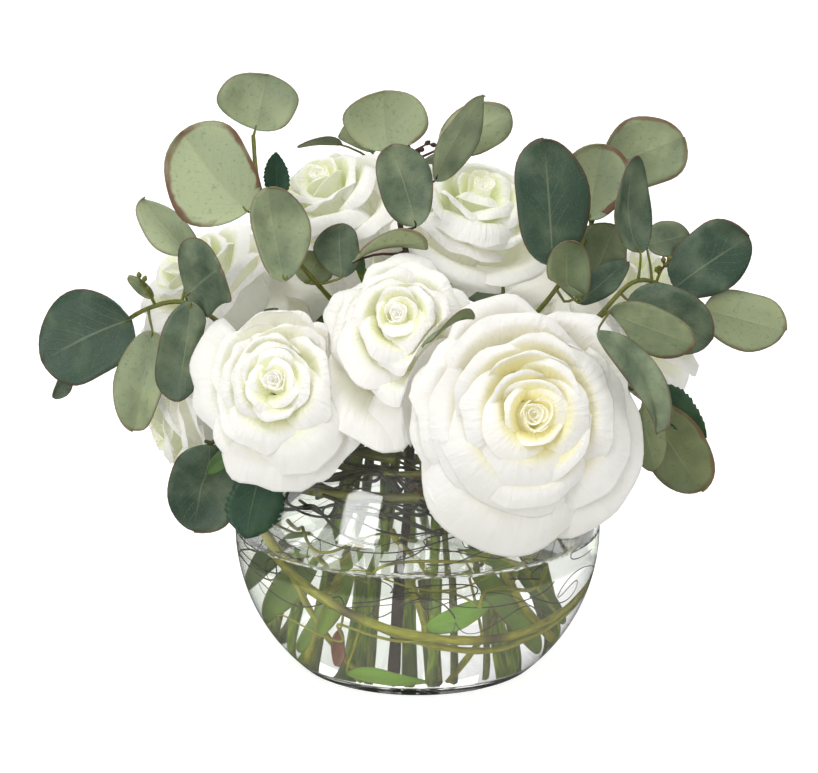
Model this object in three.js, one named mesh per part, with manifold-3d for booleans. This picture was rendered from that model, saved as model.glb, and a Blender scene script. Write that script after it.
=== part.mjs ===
// A table centrepiece: white roses and silver-dollar eucalyptus in a clear glass bubble bowl of set water.
// Millimetres, +Z up. The origin is the middle of the bowl's base. The arrangement's front looks along -Y.
import * as THREE from "three";
import Module from "manifold-3d";
import { mergeVertices } from "three/addons/utils/BufferGeometryUtils.js";

const { Manifold, Mesh: SolidMesh } = await Module().then((wasm) => {
  wasm.setup();
  return wasm;
});

// ---------------------------------------------------------------- driving dimensions

const GAP = 0.3; // between pieces that touch in the real object
const BOWL = { radius: 100, centreHeight: 77, rimHeight: 146, wall: 3, base: 6, sides: 26 };
const WATER_LEVEL = 78;
const NECK = { height: 138, spreadPerMm: 0.0065, twistPerMm: 0.0035 }; // where the stems draw together
const ROSE_STEM = { radius: 2.9, sides: 5 };
const SPRAY_STEM = { radius: 1.9, tipRadius: 1.2, sides: 5 };
const STEM_FOOT_HEIGHT = 11;
const VINE = { radius: 3, sides: 5, fromGlass: 7, segments: 28 };
const PETAL_THICKNESS = 1;
const LEAF_THICKNESS = 0.8;
const NARROW_LEAF = 25; // a leaf under this width has no fold along its middle
const PETIOLE = { halfWidth: 0.65, thickness: 1.3 };
const CLEAR_OF_BLOOMS = 1.2;
const ROOM = { across: 0.54, ahead: 0.54, deep: 0.6, sagging: 0.45 }; // shares of a bloom's span and depth
const LAYER_INSET = 2.4; // from each layer of pressed petals to the next one out
const EDGE_INSET = 0.9; // from a pressed petal's edge to its neighbour's over it
const UP = new THREE.Vector3(0, 0, 1);
const VIEWER = [0, -0.966, 0.259]; // the front leaves show their faces this way

const FINISH = {
  glass: { color: 0xf4f8f6, roughness: 0.02, metalness: 0, transparent: true, opacity: 0.3 },
  water: { color: 0xe9efe6, roughness: 0.02, metalness: 0, transparent: true, opacity: 0.35 },
  petal: { color: 0xf6f4ea, roughness: 0.55, metalness: 0 },
  roseGreen: { color: 0x55702f, roughness: 0.55, metalness: 0 },
  darkLeaf: { color: 0x4c6b5c, roughness: 0.6, metalness: 0 },
  paleLeaf: { color: 0x93a47f, roughness: 0.6, metalness: 0 },
  vine: { color: 0x7f7a2e, roughness: 0.55, metalness: 0 },
};

// Each rose: where its calyx is, the way it faces, its span, its depth from calyx to heart, its turn about
// its own axis, how far its lower petals sag, the petals in each ring from the heart outwards, and its stem's
// place in the neck, as degrees round from +X and distance from the middle. A rose gives way to those above
// it in this list.
const ROSES = [
  { name: "front_right", calyx: [49, -68, 158], faces: [0.14, -0.94, 0.3], span: 128, depth: 58, turn: 20,
    sag: 0.14, rings: [3, 4, 5, 5], neck: [-70, 33] },
  { name: "front_centre", calyx: [-9, -46, 190], faces: [-0.02, -0.86, 0.51], span: 84, depth: 54, turn: 130,
    sag: 0.75, rings: [3, 4, 5], neck: [-112, 25] },
  { name: "front_left", calyx: [-70, -55, 166], faces: [-0.06, -0.93, 0.36], span: 100, depth: 50, turn: 65,
    sag: 0.25, rings: [3, 4, 5], neck: [205, 32] },
  { name: "top_right", calyx: [22, 12, 226], faces: [0.28, -0.48, 0.83], span: 92, depth: 52, turn: 0,
    sag: 0, rings: [3, 3, 4], neck: [25, 18] },
  { name: "top_left", calyx: [-38, 24, 230], faces: [-0.36, -0.34, 0.87], span: 82, depth: 50, turn: 40,
    sag: 0, rings: [3, 3, 4], neck: [108, 18] },
  { name: "left", calyx: [-98, 6, 190], faces: [-0.55, -0.2, 0.81], span: 90, depth: 52, turn: 80,
    sag: 0, rings: [3, 3, 4], neck: [150, 27] },
  { name: "right", calyx: [94, 4, 182], faces: [0.8, -0.16, 0.55], span: 98, depth: 56, turn: 100,
    sag: 0.1, rings: [3, 3, 4], neck: [-20, 29] },
  { name: "low_left", calyx: [-103, -14, 150], faces: [-0.9, -0.24, -0.3], span: 78, depth: 44, turn: 15,
    sag: 0, rings: [3, 3, 3], neck: [170, 33] },
  { name: "back_centre", calyx: [-2, 62, 198], faces: [0.02, 0.8, 0.6], span: 92, depth: 50, turn: 55,
    sag: 0.1, rings: [3, 3, 3], neck: [65, 26] },
  { name: "back_left", calyx: [-60, 50, 166], faces: [-0.6, 0.76, 0.2], span: 90, depth: 50, turn: 95,
    sag: 0.1, rings: [3, 3, 3], neck: [122, 33] },
  { name: "back_right", calyx: [60, 50, 166], faces: [0.62, 0.74, 0.16], span: 90, depth: 50, turn: 25,
    sag: 0.1, rings: [3, 3, 3], neck: [12, 33] },
];

// The calyx in rings from the stem up: the reach of its cup and of its five sepals, its height below the
// bloom, and how much lower the sepals are.
const CALYX_RINGS = [
  { cup: 4.8, sepal: 4.8, height: -9, drop: 0 },
  { cup: 6.4, sepal: 22, height: -4.4, drop: 5.4 },
  { cup: 6.4, sepal: 22, height: -3.2, drop: 4.4 },
  { cup: 6.4, sepal: 6.4, height: 0, drop: 0 },
];

// Leaf outlines, as [share of the length, share of the half width] from base to tip.
const OUTLINES = {
  disc: [[0, 0.08], [0.2, 0.82], [0.52, 1], [0.82, 0.8], [1, 0.36]],
  round: [[0, 0.08], [0.26, 0.86], [0.66, 0.98], [1, 0.4]],
  oval: [[0, 0.08], [0.34, 0.86], [0.72, 0.92], [1, 0.26]],
  long: [[0, 0.1], [0.45, 1], [1, 0.12]],
};

// Each spray of eucalyptus: its stem's place in the neck, the points it passes above that, and its leaves,
// each with the ends of its blade, its width, its outline and, where given, its roll from facing the viewer
// and the depth of its fold as a share of its width.
const SPRAYS = [
  { name: "left", finish: FINISH.darkLeaf, neck: [182, 22],
    via: [[-58, -24, 164], [-92, -52, 192], [-120, -50, 214], [-146, -36, 206], [-168, -20, 186],
      [-186, -16, 170]],
    leaves: [
      { base: [-152, -38, 202], tip: [-202, -28, 176], width: 48, shape: "disc" },
      { base: [-140, -44, 197], tip: [-151, -48, 143], width: 30, shape: "oval" },
      { base: [-118, -62, 217], tip: [-127, -66, 164], width: 28, shape: "oval" },
      { base: [-121, -55, 219], tip: [-103, -78, 238], width: 44, shape: "disc" },
      { base: [-119, -38, 238], tip: [-143, -25, 266], width: 34, shape: "oval", roll: 62 },
      { base: [-186, -18, 168], tip: [-196, -18, 153], width: 9, shape: "long" },
      { base: [-140, -40, 214], tip: [-152, -44, 226], width: 7, shape: "long" },
    ] },
  { name: "upper_left", finish: FINISH.paleLeaf, neck: [150, 13],
    via: [[-34, -10, 190], [-58, -34, 226], [-72, -42, 246], [-84, -30, 274], [-87, -14, 296]],
    leaves: [
      { base: [-86, -12, 299], tip: [-80, -12, 328], width: 43, shape: "disc" },
      { base: [-89, -47, 262], tip: [-123, -40, 303], width: 50, shape: "disc" },
      { base: [-69, -60, 228], tip: [-76, -52, 276], width: 32, shape: "oval", roll: 25, fold: 0.2 },
      { base: [-75, -22, 262], tip: [-75, -20, 288], width: 14, shape: "long" },
      { base: [-60, -30, 220], tip: [-49, -22, 237], width: 22, shape: "long" },
      { base: [-40, -34, 224], tip: [-41, -32, 252], width: 24, shape: "oval" },
    ] },
  { name: "top", finish: FINISH.darkLeaf, neck: [-104, 12],
    via: [[-2, -18, 190], [-4, -36, 236], [-5, -24, 262], [-9, -8, 278], [-14, 4, 284]],
    leaves: [
      { base: [-16, 5, 284], tip: [-19, 5, 316], width: 45, shape: "disc" },
      { base: [-1, -50, 255], tip: [-14, -48, 297], width: 29, shape: "oval" },
      { base: [9, -30, 275], tip: [37, -20, 317], width: 26, shape: "oval", roll: 55 },
      { base: [12, -8, 288], tip: [49, -2, 307], width: 27, shape: "oval" },
      { base: [-32, -52, 232], tip: [4, -52, 248], width: 24, shape: "oval" },
    ] },
  { name: "upper_right", finish: FINISH.darkLeaf, neck: [-50, 20],
    via: [[36, -28, 178], [60, -44, 204], [78, -50, 230], [92, -32, 254], [98, -22, 278]],
    leaves: [
      { base: [70, -64, 238], tip: [65, -64, 303], width: 39, shape: "disc" },
      { base: [91, -30, 256], tip: [97, -22, 295], width: 30, shape: "oval", roll: 30, fold: 0.15 },
      { base: [99, -18, 280], tip: [141, -10, 295], width: 38, shape: "round" },
      { base: [91, -45, 222], tip: [104, -40, 253], width: 28, shape: "oval" },
      { base: [80, -74, 213], tip: [80, -68, 251], width: 24, shape: "oval", fold: 0.2 },
      { base: [84, -60, 216], tip: [110, -48, 236], width: 16, shape: "long" },
    ] },
  { name: "right", finish: FINISH.darkLeaf, neck: [5, 23],
    via: [[62, -34, 176], [92, -58, 206], [114, -50, 226], [136, -36, 216], [152, -32, 206]],
    leaves: [
      { base: [116, -50, 241], tip: [116, -46, 289], width: 28, shape: "oval", roll: 30 },
      { base: [121, -30, 240], tip: [145, -18, 243], width: 20, shape: "long" },
      { base: [135, -32, 217], tip: [176, -22, 243], width: 36, shape: "round" },
      { base: [152, -32, 206], tip: [197, -24, 192], width: 32, shape: "round" },
      { base: [110, -54, 216], tip: [155, -52, 194], width: 33, shape: "oval" },
      { base: [98, -76, 215], tip: [144, -74, 197], width: 25, shape: "oval" },
      { base: [94, -98, 207], tip: [126, -100, 160], width: 24, shape: "oval", fold: 0.2 },
    ] },
  { name: "low_right", finish: FINISH.paleLeaf, neck: [-42, 32],
    via: [[66, -40, 158], [94, -56, 164], [112, -66, 172], [121, -62, 166]],
    leaves: [
      { base: [110, -80, 175], tip: [124, -80, 130], width: 20, shape: "oval" },
      { base: [119, -62, 162], tip: [151, -55, 111], width: 34, shape: "oval" },
      { base: [124, -54, 172], tip: [149, -46, 145], width: 18, shape: "long" },
    ] },
  { name: "low_left", finish: FINISH.darkLeaf, neck: [188, 33],
    via: [[-70, -24, 157], [-88, -52, 148], [-104, -60, 143], [-112, -56, 140]],
    leaves: [
      { base: [-113, -52, 140], tip: [-120, -54, 89], width: 38, shape: "round" },
      { base: [-84, -74, 131], tip: [-94, -80, 97], width: 25, shape: "oval" },
    ] },
  { name: "back_top", finish: FINISH.paleLeaf, neck: [85, 12],
    via: [[-6, 34, 228], [-6, 44, 254], [-14, 48, 264]],
    leaves: [
      { base: [-44, 36, 268], tip: [-62, 32, 280], width: 13, shape: "long" },
      { base: [-30, 40, 270], tip: [-38, 38, 292], width: 20, shape: "long" },
      { base: [4, 50, 258], tip: [20, 58, 270], width: 22, shape: "oval" },
    ] },
  { name: "back_left", finish: FINISH.paleLeaf, neck: [100, 34],
    via: [[-26, 66, 158], [-36, 100, 168], [-46, 124, 182], [-52, 138, 198]], pairs: 2, size: 38, turn: 20 },
  { name: "back_right", finish: FINISH.darkLeaf, neck: [40, 30],
    via: [[30, 68, 158], [38, 102, 166], [50, 126, 178], [58, 138, 194]], pairs: 2, size: 38, turn: 70 },
  { name: "side_left", finish: FINISH.darkLeaf, neck: [146, 34],
    via: [[-84, 35, 159], [-112, 46, 158], [-132, 58, 162]], pairs: 2, size: 32, turn: 40 },
  { name: "side_right", finish: FINISH.paleLeaf, neck: [-2, 34],
    via: [[84, 30, 160], [110, 46, 156], [128, 60, 158]], pairs: 2, size: 32, turn: 10 },
];

// The vine winds down the inside of the glass and up again: degrees round from +X, and height.
const VINE_COURSE = [
  [170, 104], [200, 88], [225, 70], [250, 52], [275, 42], [305, 38], [335, 45], [365, 58], [410, 76],
  [460, 92], [510, 104], [560, 112], [600, 115], [640, 117], [690, 121], [740, 126], [800, 131], [860, 134],
  [920, 134], [980, 134],
];
const VINE_LEAF = { base: [4, -76, 46], tip: [36, -72, 58], width: 13, shape: "long" };

// ---------------------------------------------------------------- solids

function solidFrom(geometry) {
  const bare = geometry.index ? geometry.toNonIndexed() : geometry.clone();
  for (const name of ["normal", "uv"]) bare.deleteAttribute(name);
  const merged = mergeVertices(bare, 1e-3);
  return new Manifold(
    new SolidMesh({
      numProp: 3,
      vertProperties: merged.getAttribute("position").array,
      triVerts: new Uint32Array(merged.index.array),
    }),
  );
}

// The solid's largest body, with the hollows that fusing has sealed filled and loose scraps dropped.
function oneBody(solid) {
  return solid
    .decompose()
    .filter((body) => body.volume() > 0)
    .reduce((a, b) => (b.volume() > a.volume() ? b : a));
}

function fused(solids) {
  return oneBody(solids.reduce((a, b) => a.add(b)));
}

function geometryFrom(solid) {
  const { numProp, vertProperties, triVerts } = solid.getMesh();
  const positions = new Float32Array((vertProperties.length / numProp) * 3);
  for (let i = 0; i < positions.length / 3; i++) {
    positions.set(vertProperties.subarray(i * numProp, i * numProp + 3), i * 3);
  }
  const geometry = new THREE.BufferGeometry();
  geometry.setAttribute("position", new THREE.BufferAttribute(positions, 3));
  geometry.setIndex(new THREE.BufferAttribute(triVerts, 1));
  geometry.computeVertexNormals();
  return geometry;
}

function pieceFrom(name, solid, finish) {
  const piece = new THREE.Mesh(geometryFrom(solid), new THREE.MeshStandardMaterial(finish));
  piece.name = name;
  return piece;
}

// A lathe turned about Z from a profile of [radius, height] points that starts and ends on the axis.
function turned(profile, sides) {
  const points = profile.map(([radius, height]) => new THREE.Vector2(radius, height));
  return solidFrom(new THREE.LatheGeometry(points, sides).rotateX(Math.PI / 2));
}

function solidFromFaces(points, faces) {
  const geometry = new THREE.BufferGeometry();
  geometry.setAttribute("position", new THREE.Float32BufferAttribute(points.flatMap((p) => p.toArray()), 3));
  geometry.setIndex(faces);
  return solidFrom(geometry);
}

// A closed solid from two alike grids of points, front and back, each an array of rows.
function solidFromGrids(front, back) {
  const [rows, columns] = [front.length, front[0].length];
  const at = (side, row, column) => (side * rows + row) * columns + column;
  const faces = [];
  const quad = (a, b, c, d) => faces.push(a, b, c, a, c, d);
  for (let r = 0; r + 1 < rows; r++) {
    for (let c = 0; c + 1 < columns; c++) {
      quad(at(0, r, c), at(0, r, c + 1), at(0, r + 1, c + 1), at(0, r + 1, c));
      quad(at(1, r, c), at(1, r + 1, c), at(1, r + 1, c + 1), at(1, r, c + 1));
    }
    quad(at(0, r, columns - 1), at(1, r, columns - 1), at(1, r + 1, columns - 1), at(0, r + 1, columns - 1));
    quad(at(0, r + 1, 0), at(1, r + 1, 0), at(1, r, 0), at(0, r, 0));
  }
  for (let c = 0; c + 1 < columns; c++) {
    quad(at(0, 0, c), at(1, 0, c), at(1, 0, c + 1), at(0, 0, c + 1));
    quad(at(0, rows - 1, c + 1), at(1, rows - 1, c + 1), at(1, rows - 1, c), at(0, rows - 1, c));
  }
  const solid = solidFromFaces([...front.flat(), ...back.flat()], faces);
  return solid.volume() < 0 ? solidFromGrids(back, front) : solid;
}

// A blade with its middle surface given by rows of points, and a thickness for each row.
function blade(rows, thickness) {
  const normalAt = (r, c) => {
    const along = rows[Math.min(r + 1, rows.length - 1)][c].clone().sub(rows[Math.max(r - 1, 0)][c]);
    const across = rows[r][Math.min(c + 1, rows[r].length - 1)].clone().sub(rows[r][Math.max(c - 1, 0)]);
    return across.cross(along).normalize();
  };
  const offset = (side) =>
    rows.map((row, r) => {
      const half = (side * thickness(r)) / 2;
      return row.map((point, c) => point.clone().addScaledVector(normalAt(r, c), half));
    });
  return solidFromGrids(offset(1), offset(-1));
}

// A round tube through the points, with a radius at each, that turns as little as it can.
function tube(points, radiusAt, sides) {
  const last = points.length - 1;
  const tangents = points.map((_, i) =>
    points[Math.min(i + 1, last)].clone().sub(points[Math.max(i - 1, 0)]).normalize(),
  );
  let side = new THREE.Vector3(1, 0, 0).cross(tangents[0]).normalize();
  const rings = points.map((point, i) => {
    side = side.clone().addScaledVector(tangents[i], -side.dot(tangents[i])).normalize();
    const other = tangents[i].clone().cross(side);
    return Array.from({ length: sides }, (_, k) => {
      const angle = (2 * Math.PI * k) / sides;
      const reach = side.clone().multiplyScalar(Math.cos(angle)).addScaledVector(other, Math.sin(angle));
      return point.clone().addScaledVector(reach, radiusAt(i));
    });
  });
  const at = (ring, k) => ring * sides + (k % sides);
  const faces = [];
  for (let i = 0; i < last; i++) {
    for (let k = 0; k < sides; k++) {
      faces.push(at(i, k), at(i, k + 1), at(i + 1, k + 1), at(i, k), at(i + 1, k + 1), at(i + 1, k));
    }
  }
  for (let k = 1; k + 1 < sides; k++) {
    faces.push(at(0, 0), at(0, k + 1), at(0, k), at(last, 0), at(last, k), at(last, k + 1));
  }
  return solidFromFaces(rings.flat(), faces);
}

const vectors = (points) => points.map((p) => new THREE.Vector3(...p));

// ---------------------------------------------------------------- room taken by the blooms and the bowl

// A bloom keeps to an ellipsoid round its axis, longer below where its petals sag, and what comes after it
// bends clear of that.
function roomOf(rose) {
  const axis = new THREE.Vector3(...rose.faces).normalize();
  const side = UP.clone().cross(axis).normalize();
  const drop = side.clone().cross(axis).normalize();
  const radius = ROOM.across * rose.span;
  const shift = ROOM.sagging * rose.sag * radius * Math.abs(drop.z);
  const centre = new THREE.Vector3(...rose.calyx)
    .addScaledVector(axis, ROOM.ahead * rose.depth)
    .addScaledVector(drop, drop.z < 0 ? shift : -shift);
  return { centre, axes: [axis, side, drop], sizes: [ROOM.deep * rose.depth, radius, radius + shift] };
}

const BOWL_ROOM = {
  centre: new THREE.Vector3(0, 0, BOWL.centreHeight),
  axes: [new THREE.Vector3(1, 0, 0), new THREE.Vector3(0, 1, 0), UP],
  sizes: [BOWL.radius, BOWL.radius, BOWL.radius],
};

// How far out of the room a point is: 1 on its surface, less inside.
function outOf({ centre, axes, sizes }, point, clearance) {
  const reach = point.clone().sub(centre);
  return Math.hypot(...axes.map((axis, i) => reach.dot(axis) / (sizes[i] + clearance)));
}

function scaledAbout(centre, point, factor) {
  return point.clone().sub(centre).multiplyScalar(factor).add(centre);
}

function bentClear(point, rooms, clearance) {
  let moved = point;
  for (let pass = 0; pass < 4; pass++) {
    for (const room of rooms) {
      const share = outOf(room, moved, clearance);
      if (share < 1) moved = scaledAbout(room.centre, moved, 1 / Math.max(share, 0.05));
    }
  }
  return moved.clone();
}

function keptIn(point, room, margin) {
  const share = outOf(room, point, -margin);
  return share > 1 ? scaledAbout(room.centre, point, 1 / share) : point;
}

// ---------------------------------------------------------------- bowl and water

// Points up a sphere about the bowl's centre, from one height to another, evenly round its arc.
function arcUp(radius, from, to, steps) {
  const angleOf = (height) => Math.asin((height - BOWL.centreHeight) / radius);
  return Array.from({ length: steps + 1 }, (_, i) => {
    const angle = THREE.MathUtils.lerp(angleOf(from), angleOf(to), i / steps);
    return [radius * Math.cos(angle), BOWL.centreHeight + radius * Math.sin(angle)];
  });
}

function bowlSolid() {
  const inner = BOWL.radius - BOWL.wall;
  const outside = arcUp(BOWL.radius, 0, BOWL.rimHeight, 6);
  const wetSide = arcUp(inner, BOWL.base, WATER_LEVEL, 4);
  const drySide = arcUp(inner, WATER_LEVEL, BOWL.rimHeight, 2);
  const inside = [...wetSide, ...drySide.slice(1)].reverse();
  const rim = [(outside.at(-1)[0] + inside[0][0]) / 2, BOWL.rimHeight + BOWL.wall / 2];
  return turned([[0, 0], ...outside, rim, ...inside, [0, BOWL.base]], BOWL.sides);
}

function waterSolid(holes) {
  const bottom = BOWL.base + GAP;
  const side = arcUp(BOWL.radius - BOWL.wall - GAP, bottom, WATER_LEVEL, 4);
  const whole = turned([[0, bottom], ...side, [0, WATER_LEVEL]], BOWL.sides);
  return oneBody(holes.reduce((water, hole) => water.subtract(hole), whole));
}

// ---------------------------------------------------------------- stems

// The straight line of a stem through its place in the neck, by height: they spread and turn alike going
// down, so no two ever meet.
function neckPoint([degrees, distance], height) {
  const drop = NECK.height - height;
  const angle = THREE.MathUtils.degToRad(degrees);
  const out = new THREE.Vector3(Math.cos(angle), Math.sin(angle), 0).multiplyScalar(distance);
  const round = new THREE.Vector3(out.y, -out.x, 0).multiplyScalar(NECK.twistPerMm * drop);
  return out.multiplyScalar(1 + NECK.spreadPerMm * drop).add(round).setZ(height);
}

// A stem's route from its foot, straight through the water to the neck, then by the given points.
function stemRoute(neck, onward, rooms, clearance, steps) {
  const start = neckPoint(neck, NECK.height + 4);
  const bend = new THREE.CatmullRomCurve3([start, ...onward], false, "centripetal");
  const isEnd = (i) => i === 0 || i === steps;
  const above = bend.getPoints(steps).map((p, i) => (isEnd(i) ? p : bentClear(p, rooms, clearance)));
  return [neckPoint(neck, STEM_FOOT_HEIGHT), neckPoint(neck, WATER_LEVEL + 6), ...above];
}

function waterHole(neck, { radius, sides }) {
  const foot = neckPoint(neck, STEM_FOOT_HEIGHT - GAP);
  return tube([foot, neckPoint(neck, WATER_LEVEL + 1)], () => radius + 1.2 * GAP, sides);
}

// ---------------------------------------------------------------- roses

// A ring of petals in profile, at a share of the way from the heart to the rim, by how far up the petal,
// as [share of the bloom's radius, share of its depth]. The outer petals curl back at the edge.
function petalProfile(share, v) {
  const start = [0.1 + 0.04 * share, 0.1 - 0.04 * share];
  const swell = [0.22 + 0.62 * share, 0.62 - 0.55 * share];
  const edge = [0.1 + 0.86 * share, 1 - 0.1 * share - 0.48 * share ** 2.2];
  const curl = 0.1 * share * Math.max(0, (v - 0.66) / 0.34);
  const at = (k) => (1 - v) ** 2 * start[k] + 2 * v * (1 - v) * swell[k] + v ** 2 * edge[k];
  return [at(0) + 0.3 * curl, at(1) - curl];
}

// Points about a bloom's axis, by distance from it, angle round it and height up it.
function bloomPlace(rose) {
  const axis = new THREE.Vector3(...rose.faces).normalize();
  const across = UP.clone().cross(axis).normalize();
  across.applyQuaternion(new THREE.Quaternion().setFromAxisAngle(axis, THREE.MathUtils.degToRad(rose.turn)));
  const other = axis.clone().cross(across);
  return (distance, angle, height) => {
    const out = across.clone().multiplyScalar(Math.cos(angle)).addScaledVector(other, Math.sin(angle));
    const sag = 1 + rose.sag * Math.max(0, -out.z) * Math.min(1, (2 * distance) / rose.span);
    const calyx = new THREE.Vector3(...rose.calyx);
    return calyx.addScaledVector(out, distance * sag).addScaledVector(axis, height);
  };
}

function petal(rose, place, { share, middle, halfWidth, tucked, rows, columns }, bend) {
  const grid = Array.from({ length: rows + 1 }, (_, r) =>
    Array.from({ length: columns + 1 }, (_, c) => {
      const u = (2 * c) / columns - 1;
      const v = (r / rows) * (1 - 0.16 * u * u);
      const [out, up] = petalProfile(share, v);
      const spread = halfWidth * (0.4 + 0.6 * Math.min(1, v / 0.6));
      const tuck = tucked * u * Math.min(1, 2 * v); // one side under its neighbour, the other over
      return bend(place((rose.span / 2) * (out + tuck), middle + u * spread, rose.depth * up), u);
    }),
  );
  return blade(grid, () => PETAL_THICKNESS);
}

// The closed middle of a bloom: a seat for the calyx, a shoulder that the petals spring from, and the heart.
function bloomCore(rose) {
  const [radius, depth] = [rose.span / 2, rose.depth];
  const profile = [
    [0, GAP], [0.13 * radius, GAP], [0.29 * radius, 0.14 * depth], [0.08 * radius, 0.17 * depth],
    [0.09 * radius, 0.6 * depth], [0, 0.8 * depth],
  ];
  const points = profile.map(([r, z]) => new THREE.Vector2(r, z));
  const geometry = new THREE.LatheGeometry(points, 6).rotateX(Math.PI / 2);
  const axis = new THREE.Vector3(...rose.faces).normalize();
  geometry.applyQuaternion(new THREE.Quaternion().setFromUnitVectors(UP, axis)).translate(...rose.calyx);
  return solidFrom(geometry);
}

// Where a neighbour presses on a bloom, each layer of its petals stays inside the next one out.
function bloomSolid(rose, rooms) {
  const place = bloomPlace(rose);
  const room = roomOf(rose);
  const petals = rose.rings.flatMap((count, ring) => {
    const share = 0.08 + (0.92 * ring) / (rose.rings.length - 1);
    const steps = share < 0.6 ? 2 : 3;
    const shape = {
      share,
      rows: steps,
      columns: steps,
      halfWidth: (1.14 * Math.PI) / count,
      tucked: ring === 0 ? 0.05 : 0.3 / count,
    };
    const layers = LAYER_INSET * (rose.rings.length - 1 - ring);
    const bend = (point, u) => {
      const inset = layers + EDGE_INSET * (1 - u);
      return bentClear(keptIn(point, room, GAP + inset), rooms, CLEAR_OF_BLOOMS + inset);
    };
    return Array.from({ length: count }, (_, i) => {
      const middle = (2 * Math.PI * (i + 0.5 * (ring % 2))) / count + 0.3 * ring;
      return petal(rose, place, { ...shape, middle }, bend);
    });
  });
  return fused([bloomCore(rose), ...petals]);
}

// The cup under a bloom with its five sepals, folded back, as rings of ten points from the stem up.
function calyxCup(rose, rooms) {
  const place = bloomPlace({ ...rose, sag: 0 });
  const ring = ({ cup, sepal, height, drop }) =>
    Array.from({ length: 10 }, (_, k) => {
      const onSepal = k % 2 === 0;
      const at = place(onSepal ? sepal : cup, (Math.PI * k) / 5, onSepal ? height - drop : height);
      return bentClear(at, rooms, CLEAR_OF_BLOOMS);
    });
  const rings = CALYX_RINGS.map(ring);
  const at = (r, k) => r * 10 + (k % 10);
  const faces = [];
  for (let r = 0; r < 3; r++) {
    for (let k = 0; k < 10; k++) {
      faces.push(at(r, k), at(r, k + 1), at(r + 1, k + 1), at(r, k), at(r + 1, k + 1), at(r + 1, k));
    }
  }
  for (let k = 1; k < 9; k++) {
    faces.push(at(0, 0), at(0, k + 1), at(0, k), at(3, 0), at(3, k), at(3, k + 1));
  }
  return solidFromFaces(rings.flat(), faces);
}

// The green of a rose: its stem and, on the end of that, the cup and sepals.
function roseGreenSolid(rose, rooms) {
  const axis = new THREE.Vector3(...rose.faces).normalize();
  const down = (distance) => new THREE.Vector3(...rose.calyx).addScaledVector(axis, -distance);
  const route = stemRoute(rose.neck, [down(22), down(6)], rooms, ROSE_STEM.radius + 1, 4);
  const stem = tube(route, () => ROSE_STEM.radius, ROSE_STEM.sides);
  return fused([stem, calyxCup(rose, [...rooms, BOWL_ROOM])]);
}

// ---------------------------------------------------------------- sprays of leaves

function nearestOn(route, point) {
  return route
    .slice(1)
    .map((end, i) => new THREE.Line3(route[i], end).closestPointToPoint(point, true, new THREE.Vector3()))
    .reduce((a, b) => (b.distanceTo(point) < a.distanceTo(point) ? b : a));
}

// A leaf, in one blade with its stalk, which is sunk to the middle of the stem. Grown by a clearance, it is
// the hole for itself.
function leafSolid(leaf, route, bend, grown = 0) {
  const { width, roll = 0, fold = 0.08, faces = VIEWER } = leaf;
  const [from, to] = vectors([leaf.base, leaf.tip]);
  const along = to.clone().sub(from);
  const length = along.length() + grown;
  along.normalize();
  const across = along.clone().cross(new THREE.Vector3(...faces)).normalize();
  across.applyQuaternion(new THREE.Quaternion().setFromAxisAngle(along, THREE.MathUtils.degToRad(roll)));
  const normal = across.clone().cross(along);
  const columns = width < NARROW_LEAF ? [-1, 1] : [-1, 0, 1];
  const row = (v, half) =>
    columns.map((u) => {
      const lift = (u === 0 ? -fold : 0) * half * 2 - 0.06 * length * v * v;
      const point = from.clone().addScaledVector(along, v * length * (v < 1 ? 1 : 1 - 0.07 * u * u));
      return bend(point.addScaledVector(across, u * half).addScaledVector(normal, lift));
    });
  const root = nearestOn(route, from);
  const rootRow = columns.map((u) => root.clone().addScaledVector(across, u * (PETIOLE.halfWidth + grown)));
  const halfOf = (share) => Math.max((share * width) / 2, PETIOLE.halfWidth) + grown;
  const bladeRows = OUTLINES[leaf.shape].map(([v, share]) => row(v, halfOf(share)));
  return blade([rootRow, ...bladeRows], (r) => (r < 2 ? PETIOLE.thickness : LEAF_THICKNESS) + 2 * grown);
}

// Leaves in pairs along a stem, each pair turned a quarter from the last, facing the way the stem grows.
function pairedLeaves({ via, pairs, size, turn }) {
  const stem = new THREE.CatmullRomCurve3(vectors(via), false, "centripetal");
  return Array.from({ length: 2 * pairs }, (_, i) => {
    const pair = Math.floor(i / 2);
    const t = 0.42 + (0.56 * pair) / (pairs - 1);
    const [at, growth] = [stem.getPoint(t), stem.getTangent(t)];
    const angle = THREE.MathUtils.degToRad(turn + 90 * pair + 180 * (i % 2));
    const side = growth.clone().cross(UP).normalize().applyAxisAngle(growth, angle);
    const way = side.multiplyScalar(0.86).addScaledVector(growth, 0.5).normalize();
    const length = size * (1 - 0.12 * pair) * (1 + 0.1 * Math.sin(7.3 * i));
    const ends = [7, 7 + length].map((reach) => at.clone().addScaledVector(way, reach).toArray());
    return { base: ends[0], tip: ends[1], width: 0.86 * length, shape: "round", faces: growth.toArray() };
  });
}

function sprayStem({ neck, via }, rooms) {
  const { radius, tipRadius, sides } = SPRAY_STEM;
  const route = stemRoute(neck, vectors(via), rooms, radius + 0.8, via.length + 2);
  const taper = (i) => THREE.MathUtils.lerp(radius, tipRadius, Math.max(0, i - 2) / route.length);
  return { route, solid: tube(route, taper, sides) };
}

function spraySolid(spray, rooms) {
  const { route, solid } = sprayStem(spray, rooms);
  const bend = (point) => bentClear(point, rooms, CLEAR_OF_BLOOMS);
  const leaves = spray.leaves ?? pairedLeaves(spray);
  return fused([solid, ...leaves.map((leaf) => leafSolid(leaf, route, bend))]);
}

// ---------------------------------------------------------------- vine

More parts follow.
